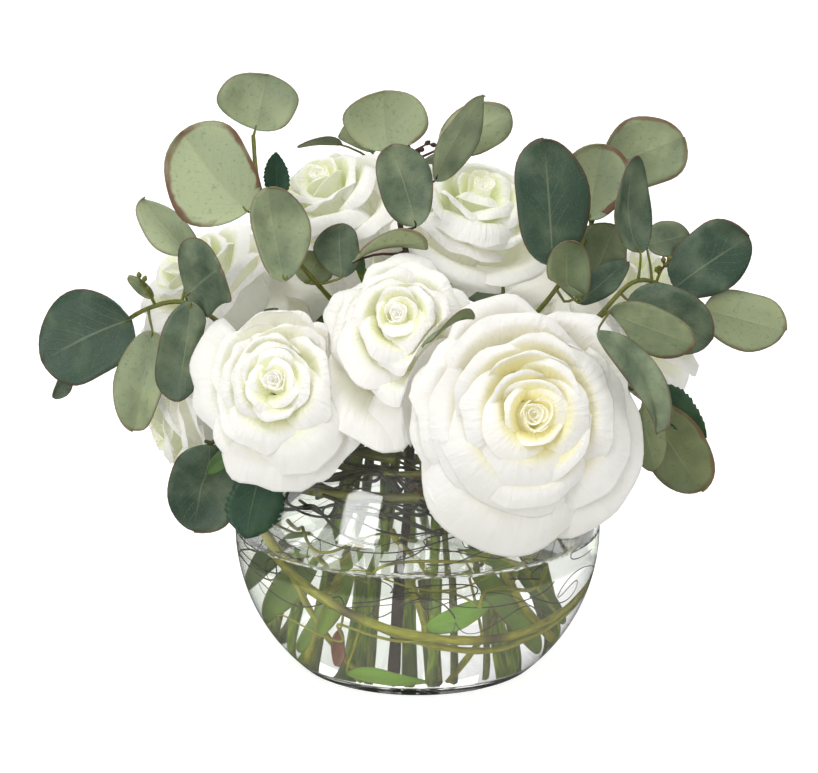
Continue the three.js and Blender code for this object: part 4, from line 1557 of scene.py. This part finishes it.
    def heart_petal(self, sheets: Sheets, number: int) -> None:
        """Adds one of the petals rolled tightly together in the heart.

        Args:
            sheets: Where it goes.
            number: Which it is, from the innermost one.
        """
        rng, radius, depth = self.rng, self.rose.span / 2, self.rose.depth
        ring = number / (self.heart_petals - 1)
        u = np.linspace(-1, 1, 21)[None, :]
        t = np.linspace(0, 1, 15)[:, None]
        gap = 0.1 * radius / (self.heart_petals - 1)
        distance = radius * (0.014 + 0.1 * ring) + gap * 0.5 * u * rng.choice([-1, 1])
        distance = distance * (1.22 - 0.22 * t) + gap * 0.95 * smoothstep(t, 0.78, 1.0)
        lip = -0.35 * gap * smoothstep(t, 0.9, 1.0)
        height = depth * (0.5 + (0.455 + 0.04 * math.sin(2.2 * ring)) * t) + lip
        height = height - depth * 0.1 * (1 - ring) * np.maximum(0, np.abs(u) - 0.5) * t
        wide = math.radians(165 - 75 * ring)
        angle = number * GOLDEN_ANGLE + u * wide + 0.1 * rng.uniform(-1, 1)
        distance = distance * (1 + 0.16 * np.cos(2 * angle + 2.4 * number))
        height = height + 0.35 * np.sin(3 * u + rng.uniform(0, 6.3)) * t**3
        grid = self.placed(distance, angle + 0 * t, height + 0 * u, 0.0)
        sheets.sheet(self.pressed(grid, 0.0, u), self.petal_thickness * self.heart_thinning,
                     sheet_map(u, 0.55 + 0.45 * t), share=0.06 * ring)

    def heart(self, sheets: Sheets) -> None:
        """Adds the petals of the heart, and the core that they are wound round.

        Args:
            sheets: Where they go.
        """
        for number in range(self.heart_petals):
            self.heart_petal(sheets, number)
        up = np.linspace(*self.core_height, len(self.core_radii))
        path = self.placed(0 * up, 0 * up, up * self.rose.depth, 0.0)
        sheets.tube(path, self.rose.span * vec(self.core_radii), 14, share=0.1)

    def inner_petals(self, sheets: Sheets) -> None:
        """Adds the petals round the heart, on a golden-angle spiral that opens outwards.

        Args:
            sheets: Where they go.
        """
        start = self.rng.uniform(0, 6.3)
        for number in range(self.rose.inner):
            grown = number / (self.rose.inner - 1)
            share = self.inner_share + (self.outer_share - self.inner_share) * grown
            share += 0.05 * grown * self.rng.uniform(-1, 1)
            middle = start + number * GOLDEN_ANGLE + self.rng.uniform(-0.2, 0.2)
            half_width = math.radians(86 - 36 * grown**0.6) * self.rng.uniform(0.85, 1.15)
            self.petal(sheets, share, middle, half_width)

    def outer_petals(self, sheets: Sheets) -> None:
        """Adds the outermost ring of petals.

        Args:
            sheets: Where they go.
        """
        last = self.rose.layers - 1
        for number in range(self.rose.outer):
            middle = 2 * math.pi * (number + 0.5 * (last % 2)) / self.rose.outer + 0.3 * last
            self.petal(sheets, 1.0, middle, 1.24 * math.pi / self.rose.outer)

    def build(self) -> None:
        """Makes the bloom."""
        sheets = Sheets()
        self.heart(sheets)
        self.inner_petals(sheets)
        self.outer_petals(sheets)
        piece = sheets.make(f"{self.rose.name}_bloom", [self.rose.finish.material])
        hand_over(piece, "petal", f"rose_{self.rose.name}_bloom")


@dataclass
class RoseGreen:
    """The green of one rose: its stem, cup and sepals, and the small leaves beside it."""

    rose: Rose
    others: Sequence[Room]
    stem_radius: float = 2.7
    stem_clearance: float = 1.2
    stem_steps: int = 22
    cup_length: tuple[float, float] = (-10.0, -0.2)
    cup_radii: tuple[float, ...] = (2.9, 3.6, 4.6, 5.6, 6.2, 6.4, 6.3, 5.9, 5.2)
    sepals: int = 5
    sepal_root: float = 4.0
    sepal_length: float = 22.0
    sepal_half_width: float = 5.2
    sepal_thickness: float = 0.6

    def sepal(self, sheets: Sheets, number: int) -> None:
        """Adds one of the sepals, folded back under the bloom.

        Args:
            sheets: Where it goes.
            number: Which it is.
        """
        u = np.linspace(-1, 1, 7)[None, :]
        t = np.linspace(0, 1, 11)[:, None]
        distance = self.sepal_root + (self.sepal_length - self.sepal_root) * t + 0 * u
        width = self.sepal_half_width * np.sqrt(np.clip(1 - t**1.6, 0, 1)) + 0.25
        angle = 2 * math.pi * number / self.sepals + u * width / distance
        height = -2.2 - 6.0 * t**1.5 - 0.9 * (1 - u**2) * (1 - t)
        grid = self.rose.place(distance, angle, height)
        moved = bent_clear(grid, [*self.others, BOWL_ROOM], 1.0)
        sheets.sheet(eased(grid, moved, 1), self.sepal_thickness, sheet_map(u, t), slot=1,
                     tone=0.45, olive=0.5, edge=np.abs(u) * 0.9 + 0 * t)

    def build(self) -> None:
        """Makes the stem, the cup, the sepals and the leaves."""
        calyx, axis = vec(self.rose.calyx), self.rose.axis
        onward = [calyx - 22 * axis, calyx - 6 * axis]
        clearance = self.stem_radius + self.stem_clearance
        route = stem_route(self.rose.neck, onward, self.others, clearance, self.stem_steps)
        sheets = Sheets()
        swell = 1 + 0.05 * np.sin(np.arange(len(route)) * 1.7 + self.rose.turn)
        sheets.tube(route, self.stem_radius * swell, 14)
        cup = calyx + axis * np.linspace(*self.cup_length, len(self.cup_radii))[:, None]
        sheets.tube(cup, vec(self.cup_radii), 16)
        for number in range(self.sepals):
            self.sepal(sheets, number)
        rooms = [*self.others, self.rose.room, BOWL_ROOM]
        foliage = Foliage(rooms, np.random.default_rng(len(self.rose.tips)))
        for leaf in self.rose.tips:
            foliage.grow(sheets, leaf, cup, (1, 1, 0))
        piece = sheets.make(f"{self.rose.name}_rose_green", [ROSE_STALK.material, ROSE_LEAF.material])
        hand_over(piece, "rose_green", f"rose_{self.rose.name}_stem")


# ---------------------------------------------------------------- eucalyptus


D, R, O, L = Outline.DISC, Outline.ROUND, Outline.OVAL, Outline.LONG


@dataclass(frozen=True)
class Spray:
    """One spray of eucalyptus: its stem, and its leaves one by one or as pairs of one size."""

    name: str
    pale: bool
    neck: tuple[float, float]
    via: tuple[Triple, ...]
    leaves: tuple[Leaf, ...] = ()
    size: float = 0.0
    turn: float = 0.0
    stalk: StalkFinish = EUCALYPTUS_STALK
    foot_radius: float = 1.8
    sprigs: tuple[Triple, ...] = ()


SPRAYS = (
    Spray("left", False, (182, 22),
          ((-58, -24, 164), (-92, -52, 192), (-120, -50, 214), (-146, -36, 206), (-168, -20, 186),
           (-186, -16, 170)),
          (Leaf((-152, -38, 202), (-202, -28, 176), 48, D, 0.05, 0.1),
           Leaf((-140, -44, 197), (-151, -48, 143), 30, O, 0.75, 0.35, 0.3),
           Leaf((-118, -62, 217), (-127, -66, 164), 28, O, 0.3, 0.15),
           Leaf((-121, -55, 219), (-103, -78, 238), 44, D, 0.3, 0.2),
           Leaf((-119, -38, 238), (-143, -25, 266), 34, O, 0.85, 0.2, 0, 62),
           Leaf((-186, -18, 168), (-196, -18, 153), 9, L, 0.2),
           Leaf((-140, -40, 214), (-152, -44, 226), 7, L, 0.6, 0, 0.5)),
          sprigs=((-146, -44, 224),)),
    Spray("upper_left", True, (150, 13),
          ((-34, -10, 190), (-58, -34, 226), (-72, -42, 246), (-84, -30, 274), (-87, -14, 296)),
          (Leaf((-86, -12, 299), (-80, -12, 328), 43, D, 0.72, 0.2, 0.15),
           Leaf((-89, -47, 262), (-123, -40, 303), 50, D, 1.05, 1.05, 0.1),
           Leaf((-69, -60, 228), (-76, -52, 276), 32, O, 0.6, 0.1, 0.1, 25, 0.2),
           Leaf((-75, -22, 262), (-75, -20, 288), 14, L, 0.0, toothed=True),
           Leaf((-60, -30, 220), (-49, -22, 237), 22, L, 0.55, 0, 0.7),
           Leaf((-40, -34, 224), (-41, -32, 252), 24, O, 0.25, 0.3))),
    Spray("top", False, (-104, 12),
          ((-2, -18, 190), (-4, -36, 236), (-5, -24, 262), (-9, -8, 278), (-14, 4, 284)),
          (Leaf((-16, 5, 284), (-19, 5, 316), 45, D, 1.05, 0.6, 0.15, faces=(-0.15, -0.85, 0.5)),
           Leaf((-1, -50, 255), (-14, -48, 297), 29, O, 0.38, 0.1),
           Leaf((9, -30, 275), (37, -20, 317), 26, O, 0.6, 0.1, 0, 55),
           Leaf((12, -8, 288), (49, -2, 307), 27, O, 0.8, 0.8, 0.2),
           Leaf((-32, -52, 232), (4, -52, 248), 24, O, 0.7, 0.8, 0.5)),
          stalk=DARK_TWIG, foot_radius=2.7, sprigs=((5, -6, 290),)),
    Spray("upper_right", False, (-50, 20),
          ((36, -28, 178), (60, -44, 204), (78, -50, 230), (92, -32, 254), (98, -22, 278)),
          (Leaf((70, -64, 238), (65, -64, 303), 39, D, 0.1, 0.55),
           Leaf((90, -38, 256), (96, -34, 295), 34, R, 1.1, 1.2, 0, 0, 0.12, (-0.1, -0.85, 0.5)),
           Leaf((99, -18, 280), (141, -10, 295), 38, R, 0.62, 0.9, 0.3),
           Leaf((91, -45, 222), (104, -40, 253), 28, O, 0.45, 0.3, 0.4),
           Leaf((80, -74, 213), (80, -68, 251), 24, O, 0.4, 0.3, 0.6, 30, 0.25),
           Leaf((84, -60, 216), (110, -48, 236), 16, L, 0.15),
           Leaf((8, -108, 200), (27, -112, 224), 14, O, 0.45, 0.1, 0.7, 20, 0.25, stalked=False))),
    Spray("right", False, (5, 23),
          ((62, -34, 176), (92, -58, 206), (114, -50, 226), (136, -36, 216), (152, -32, 206)),
          (Leaf((116, -50, 241), (116, -46, 291), 32, L, 0.3, 0.1, 0, 38, 0.24),
           Leaf((121, -30, 240), (145, -18, 243), 20, L, 0.4),
           Leaf((135, -32, 217), (176, -22, 243), 36, R, 0.08, 0.35),
           Leaf((152, -32, 206), (197, -24, 192), 32, D, 0.95, 0.6, 0.45),
           Leaf((110, -54, 216), (155, -52, 194), 33, O, 0.24, 0.15),
           Leaf((98, -76, 215), (144, -74, 197), 25, O, 0.5, 0.7, 0.4),
           Leaf((90, -101, 209), (127, -104, 159), 30, D, 0.42, 0.1, 0, 0, 0.1)),
          sprigs=((130, -42, 233),)),
    Spray("low_right", True, (-42, 32),
          ((66, -40, 158), (94, -56, 164), (112, -66, 172), (121, -62, 166)),
          (Leaf((110, -80, 175), (124, -80, 130), 20, O, 0.5, 0.2, 0.6),
           Leaf((119, -62, 162), (151, -55, 111), 34, O, 0.42, 0.8, 0.85),
           Leaf((124, -58, 172), (153, -52, 140), 18, L, 0.3, toothed=True))),
    Spray("low_left", False, (188, 33),
          ((-70, -24, 157), (-88, -52, 148), (-104, -60, 143), (-112, -56, 140)),
          (Leaf((-113, -52, 140), (-120, -54, 89), 38, R, 0.15, 0.3),
           Leaf((-82, -76, 131), (-90, -84, 95), 30, O, 0.12, toothed=True))),
    Spray("back_top", True, (85, 12), ((-6, 34, 228), (-6, 44, 254), (-14, 48, 264)),
          (Leaf((-44, 36, 268), (-62, 32, 280), 13, L, 0.3, 0, 0.5),
           Leaf((-30, 40, 270), (-38, 38, 292), 20, L, 0.6),
           Leaf((4, 50, 258), (20, 58, 270), 22, O, 0.3))),
    Spray("back_left", True, (100, 34), ((-26, 66, 158), (-36, 100, 168), (-46, 124, 182), (-52, 138, 198)),
          size=38, turn=20),
    Spray("back_right", False, (40, 30), ((30, 68, 158), (38, 102, 166), (50, 126, 178), (58, 138, 194)),
          size=38, turn=70),
    Spray("side_left", False, (146, 34), ((-84, 35, 159), (-112, 46, 158), (-132, 58, 162)),
          size=32, turn=40),
    Spray("side_right", True, (-2, 34), ((84, 30, 160), (110, 46, 156), (128, 60, 158)),
          size=32, turn=10),
)


PALE_TONES = (0.75, 0.55, 0.85, 0.65)
DARK_TONES = (0.1, 0.3, 0.2, 0.4)


def paired_leaves(spray: Spray) -> list[Leaf]:
    """Gives the leaves of a spray that carries two pairs, the second turned a quarter from the first.

    Args:
        spray: The spray.

    Returns:
        Its leaves.
    """
    leaves = []
    stalk = 7
    fine = course(spray.via, 200)
    for i, tone in enumerate(PALE_TONES if spray.pale else DARK_TONES):
        pair, right = divmod(i, 2)
        k = min(int(round((0.42 + 0.56 * pair) * 200)), 199)
        growth = unit(fine[k + 1] - fine[max(k - 1, 0)])
        angle = math.radians(spray.turn + 90 * pair + 180 * right)
        side = turned_about(unit(np.cross(growth, UP)), growth, angle)
        way = unit(0.86 * side + 0.5 * growth)
        length = spray.size * (1 - 0.12 * pair) * (1 + 0.1 * math.sin(7.3 * i))
        base, tip = fine[k] + stalk * way, fine[k] + (stalk + length) * way
        leaves.append(Leaf(tuple(base), tuple(tip), 0.86 * length, Outline.ROUND, tone,
                           0.2 + 0.15 * i, 0.1 * i, faces=tuple(growth)))
    return leaves


@dataclass
class EucalyptusSpray:
    """One spray in full."""

    spray: Spray
    rooms: Sequence[Room]
    seed: int
    tip_radius: float = 1.1
    clearance: float = 2.8
    stem_sides: int = 12

    def build(self) -> None:
        """Makes the stem and its leaves."""
        spray = self.spray
        route = stem_route(spray.neck, spray.via, self.rooms, self.clearance, 6 * len(spray.via) + 6)
        grown = np.linspace(0, 1, len(route))
        radii = self.tip_radius + (spray.foot_radius - self.tip_radius) * (1 - grown) ** 1.3
        knobbly = 1 + 0.06 * np.sin(np.arange(len(route)) * 2.1)
        sheets = Sheets()
        sheets.tube(route, radii * knobbly, self.stem_sides, 2)
        foliage = Foliage(self.rooms, np.random.default_rng(self.seed))
        for leaf in spray.leaves or paired_leaves(spray):
            foliage.grow(sheets, leaf, route, (0, 1, 2))
        for place in spray.sprigs:
            foliage.sprig(sheets, place, route, 2)
        leaf_finish = EUCALYPTUS_PALE if spray.pale else EUCALYPTUS_DARK
        finishes = [leaf_finish.material, ROSE_LEAF.material, spray.stalk.material]
        piece = sheets.make(f"{spray.name}_spray", finishes)
        slot = "eucalyptus_pale" if spray.pale else "eucalyptus_dark"
        hand_over(piece, slot, f"eucalyptus_{spray.name}")


# ---------------------------------------------------------------- vine

# The vine's course, in degrees round the bowl and height.
VINE_COURSE = (
    (170, 104), (200, 88), (225, 70), (250, 52), (275, 42), (305, 38), (335, 45), (365, 58), (410, 76),
    (460, 92), (510, 104), (560, 112), (600, 115), (640, 117), (690, 121), (740, 126), (800, 131), (860, 134),
    (920, 134), (980, 134),
)

# Side shoots that cross in the water: their ends and their radius.
SHOOTS = (
    ((-14, -34, 84), (10, -54, 14), 1.9), ((34, -46, 82), (70, -26, 22), 2.2),
    ((52, -36, 84), (14, -40, 12), 1.7), ((-30, -44, 82), (-58, -40, 14), 2.3),
    ((-62, -30, 70), (-26, -52, 12), 1.8),
)

# The vine's leaves: the one on the front of the coil, those lower in the water and two above it.
VINE_LEAVES = (
    Leaf((4, -78, 46), (36, -74, 58), 13, Outline.LONG, 0.8, 0.0, 0.0),
    Leaf((-36, -58, 15), (6, -62, 14), 12, Outline.LONG, 1.0, 0.1, 0.3, faces=(0, -0.8, 0.6)),
    Leaf((-44, -30, 74), (-80, -26, 28), 15, Outline.LONG, 0.2, 0.0, 0.6, faces=(0.3, -0.95, 0.1)),
    Leaf((-58, -14, 72), (-88, -4, 40), 17, Outline.LONG, 0.1, 0.0, 0.4, faces=(0.5, -0.86, 0.1)),
    Leaf((-30, -46, 70), (-62, -46, 22), 11, Outline.LONG, 0.5, 0.0, 0.7),
    Leaf((-36, -54, 62), (-50, -60, 36), 9, Outline.LONG, 1.0, 0.0, 0.9),
    Leaf((22, -44, 74), (62, -40, 20), 12, Outline.LONG, 0.4, 0.0, 0.6),
    Leaf((40, -30, 74), (72, -26, 34), 10, Outline.LONG, 0.2, 0.0, 0.5),
    Leaf((-38, -62, 42), (-42, -64, 19), 8, Outline.LONG, 0.2, 8.0, 0.0, faces=(0.1, -1.0, 0.0)),
    Leaf((2, -62, 126), (-3, -66, 111), 9, Outline.OVAL, 0.4, 6.0, 0.2),
    Leaf((64, -62, 112), (76, -60, 102), 10, Outline.OVAL, 0.3, 6.0, 0.2),
)


@dataclass(frozen=True)
class Curls:
    """A number of tendrils of one kind: between which heights they start, how thick, and of what."""

    number: int
    heights: tuple[float, float]
    radius: float
    slot: int


@dataclass
class Vine:
    """The vine that winds inside the glass, with its small leaves and tendrils."""

    seed: int = 71
    radius: float = 2.9
    from_glass: float = 7.0
    steps: int = 220
    sides: int = 12
    joint_every: int = 22
    runner_radius: float = 2.0
    runner_turn: tuple[float, float] = (228.0, 372.0)
    strand_radius: float = 1.7
    strands: tuple[tuple[float, float, float, float], ...] = (
        (205, 330, 130, 8), (200, 300, 116, 14), (30, 160, 118, 9))
    thin_sides: int = 10
    curl_steps: int = 48
    curl_sides: int = 6
    curl_heights: tuple[float, float] = (14.0, 138.0)
    curls: tuple[Curls, ...] = (Curls(24, (24, 100), 0.45, 2), Curls(7, (30, 90), 1.0, 0),
                                Curls(52, (102, 137), 1.15, 2))

    def on_glass(self, degrees: Points, height: Points, from_glass: Points) -> Points:
        """Gives points just inside the glass.

        Args:
            degrees: Where they are round the bowl.
            height: How high they are.
            from_glass: How far they are from the glass, measured level.

        Returns:
            The points.
        """
        angle = np.radians(degrees)
        inner = BOWL_RADIUS - BOWL_WALL
        reach = np.sqrt(inner**2 - (height - BOWL_CENTRE_HEIGHT) ** 2) - from_glass
        return np.stack([reach * np.cos(angle), reach * np.sin(angle), height], -1)

    def tendril(self, sheets: Sheets, rng: np.random.Generator, kind: Curls) -> None:
        """Adds a thin curling tendril that wanders inside the glass.

        Args:
            sheets: Where it goes.
            rng: Gives its course.
            kind: What it is like.
        """
        start = rng.uniform(175, 360)
        low = rng.uniform(*kind.heights)
        s = np.linspace(0, 1, self.curl_steps)
        degrees = start + rng.choice([-1, 1]) * rng.uniform(30, 85) * s + 6 * np.sin(rng.uniform(5, 13) * s)
        height = low + rng.uniform(-14, 14) * s + 4.5 * np.sin(rng.uniform(6, 14) * s + rng.uniform(0, 6))
        depth = 5 + rng.uniform(2, 24) * (0.5 + 0.5 * np.sin(rng.uniform(4, 9) * s + rng.uniform(0, 6)))
        path = self.on_glass(degrees, np.clip(height, *self.curl_heights), depth)
        sheets.tube(path, kind.radius * rng.uniform(0.7, 1.2) * (1 - 0.5 * s), self.curl_sides, kind.slot)

    def main_stem(self, sheets: Sheets) -> Points:
        """Adds the vine's stem, with a darker swelling at each joint.

        Args:
            sheets: Where it goes.

        Returns:
            The points along it.
        """
        route = course(self.on_glass(*np.array(VINE_COURSE, float).T, self.from_glass), self.steps)
        number = np.arange(len(route))
        half = self.joint_every / 2
        swelling = np.exp(-((number % self.joint_every - half) ** 2) / 3)
        joint = np.exp(-((np.arange(len(route) + 2) % self.joint_every - half - 1) ** 2) / 4.0)
        bump = 1 + 0.06 * np.sin(number * 0.9) + 0.1 * swelling
        sheets.tube(route, self.radius * 0.92 * bump, self.sides, 0, red=np.repeat(joint, self.sides))
        return route

    def runner(self, sheets: Sheets) -> None:
        """Adds the thinner runner that crosses the front of the vine and climbs again on the right.

        Args:
            sheets: Where it goes.
        """
        start, end = self.runner_turn
        degrees = np.linspace(start, end, 60)
        lag = (degrees - start) / (end - start)
        dip = 36 * np.sin(math.pi * np.minimum(lag * 0.9, 0.5))
        height = 66 - dip + 34 * np.clip(lag - 0.5, 0, 1) ** 1.4 * 2
        path = self.on_glass(degrees, height, 6.0 + 6 * np.sin(math.pi * lag))
        sheets.tube(path, self.runner_radius * (1 + 0.08 * np.sin(np.arange(60))), self.thin_sides)

    def upper_strands(self, sheets: Sheets) -> None:
        """Adds the strands that lie round the bowl above the water.

        Args:
            sheets: Where they go.
        """
        for start, end, height, from_glass in self.strands:
            degrees = np.linspace(start, end, 70)
            heights = height + 3.5 * np.sin(degrees / 23)
            path = self.on_glass(degrees, heights, from_glass + 2 * np.sin(degrees / 17))
            sheets.tube(path, self.strand_radius * (1 + 0.1 * np.sin(np.arange(70) * 0.8)), self.thin_sides)

    def side_shoots(self, sheets: Sheets, rng: np.random.Generator) -> None:
        """Adds the shoots that cross in the water.

        Args:
            sheets: Where they go.
            rng: Bends them a little.
        """
        for start, end, radius in SHOOTS:
            middle = (vec(start) + vec(end)) / 2 + rng.uniform(-4, 4, 3)
            path = course([start, middle, end], 24)
            sheets.tube(path, radius * (1 + 0.07 * np.sin(np.arange(len(path)))), self.thin_sides)

    def build(self) -> None:
        """Makes the vine."""
        rng = np.random.default_rng(self.seed)
        sheets = Sheets()
        route = self.main_stem(sheets)
        self.runner(sheets)
        self.upper_strands(sheets)
        foliage = Foliage((), rng)
        for leaf in VINE_LEAVES:
            foliage.grow(sheets, leaf, route, (1, 1, 0))
        self.side_shoots(sheets, rng)
        for kind in self.curls:
            for _ in range(kind.number):
                self.tendril(sheets, rng, kind)
        piece = sheets.make("winding_vine", [VINE_BARK.material, VINE_LEAF_FINISH.material, TENDRIL.material])
        hand_over(piece, "vine", "vine")


# ---------------------------------------------------------------- studio


@dataclass(frozen=True)
class SoftBox:
    """A soft lamp: its place and size in metres, its power in watts and whether it only shines."""

    name: str
    place: Triple
    size: tuple[float, float]
    watts: float
    shine_only: bool = False


SOFT_BOXES = (
    SoftBox("key_box", (-1.3, -1.68, 0.72), (0.9, 1.3), 12.5),
    SoftBox("top_box", (-0.3, -0.5, 2.2), (1.2, 1.2), 18.5),
    SoftBox("right_box", (1.9, -1.0, 1.0), (0.9, 1.2), 6.0),
    SoftBox("back_box", (0.3, 2.0, 1.2), (1.8, 0.9), 7.0),
    SoftBox("shine_box", (-1.32, -1.72, 0.72), (0.9, 1.3), 14.0, shine_only=True),
)


@dataclass
class Studio:
    """The floor, the soft light and the camera."""

    target: Triple = (-0.0047, 0.0, 0.155)
    distance: float = 1.8
    elevation: float = 15.0
    focal_px: float = 3312.6
    frame_px: float = 818.0
    sensor: float = 36.0
    floor_reach: float = 6.0
    low_light: float = 0.3
    high_light: float = 0.68
    mirrored_light: float = 0.3

    def camera(self) -> None:
        """Sets the camera at the photograph's viewing angle."""
        data = bpy.data.cameras.new("view")
        data.sensor_width = self.sensor
        data.lens = self.focal_px / self.frame_px * self.sensor
        data.clip_end = 30.0
        camera = bpy.data.objects.new("view", data)
        rise = math.radians(self.elevation)
        back = Vector((0.0, -math.cos(rise), math.sin(rise)))
        camera.location = Vector(self.target) + self.distance * back
        camera.rotation_euler = (-back).to_track_quat("-Z", "Y").to_euler()
        bpy.context.scene.collection.objects.link(camera)
        bpy.context.scene.camera = camera

    def lamp(self, box: SoftBox) -> None:
        """Adds a soft box that faces the arrangement.

        Args:
            box: What it is.
        """
        data = bpy.data.lights.new(box.name, "AREA")
        data.shape = "RECTANGLE"
        data.size, data.size_y = box.size
        data.energy = box.watts
        lamp = bpy.data.objects.new(box.name, data)
        lamp.location = box.place
        lamp.visible_diffuse = not box.shine_only
        lamp.rotation_euler = (Vector(self.target) - Vector(box.place)).to_track_quat("-Z", "Y").to_euler()
        bpy.context.scene.collection.objects.link(lamp)

    def surroundings(self) -> None:
        """Makes the white room: pure white seen straight or through the glass, and graded as light."""
        world = bpy.data.worlds.new("white_room")
        world.use_nodes = True
        bpy.context.scene.world = world
        w = Wiring(world.node_tree)
        background = world.node_tree.nodes["Background"]
        seen = w.seen()
        height = w.add("SeparateXYZ", {"Vector": w.add("TexCoord").outputs["Generated"]}).outputs["Z"]
        graded = w.ramp(height, -0.3, 0.9, self.low_light, self.high_light)
        glossy = w.add("LightPath").outputs["Is Glossy Ray"]
        unseen = w.times(graded, w.ramp(glossy, 0.0, 1.0, 1.0, self.mirrored_light))
        unseen = w.times(unseen, w.maths("SUBTRACT", 1.0, seen))
        w.feed(background.inputs["Strength"], w.maths("ADD", unseen, seen))
        background.inputs["Color"].default_value = (1.0, 1.0, 1.0, 1.0)

    def floor(self) -> None:
        """Lays the pale floor."""
        mesh = bpy.data.meshes.new("floor")
        corners = ((-1, -1), (1, -1), (1, 1), (-1, 1))
        mesh.from_pydata([(x * self.floor_reach, y * self.floor_reach, 0) for x, y in corners], [],
                         [(0, 1, 2, 3)])
        mesh.materials.append(FloorFinish().material)
        floor = bpy.data.objects.new("floor", mesh)
        floor.visible_glossy = False
        bpy.context.scene.collection.objects.link(floor)

    def build(self) -> None:
        """Sets up everything that isn't part of the object."""
        self.camera()
        for box in SOFT_BOXES:
            self.lamp(box)
        self.surroundings()
        self.floor()
        bpy.context.scene.view_settings.view_transform = "Standard"


BLOOM_SEED = 100
SPRAY_SEED = 300


def main() -> None:
    """Builds every piece in order."""
    logging.basicConfig(level=logging.INFO, format="%(message)s")
    Studio().build()
    bowl = Bowl()
    bowl.build()
    SetWater(bowl).build()
    rooms = [rose.room for rose in ROSES]
    for number, rose in enumerate(ROSES):
        Bloom(rose, rooms[:number], BLOOM_SEED + number).build()
        RoseGreen(rose, rooms[:number] + rooms[number + 1 :]).build()
    for number, spray in enumerate(SPRAYS):
        EucalyptusSpray(spray, [*rooms, BOWL_ROOM], SPRAY_SEED + number).build()
    Vine().build()
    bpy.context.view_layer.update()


if __name__ == "__main__":
    main()
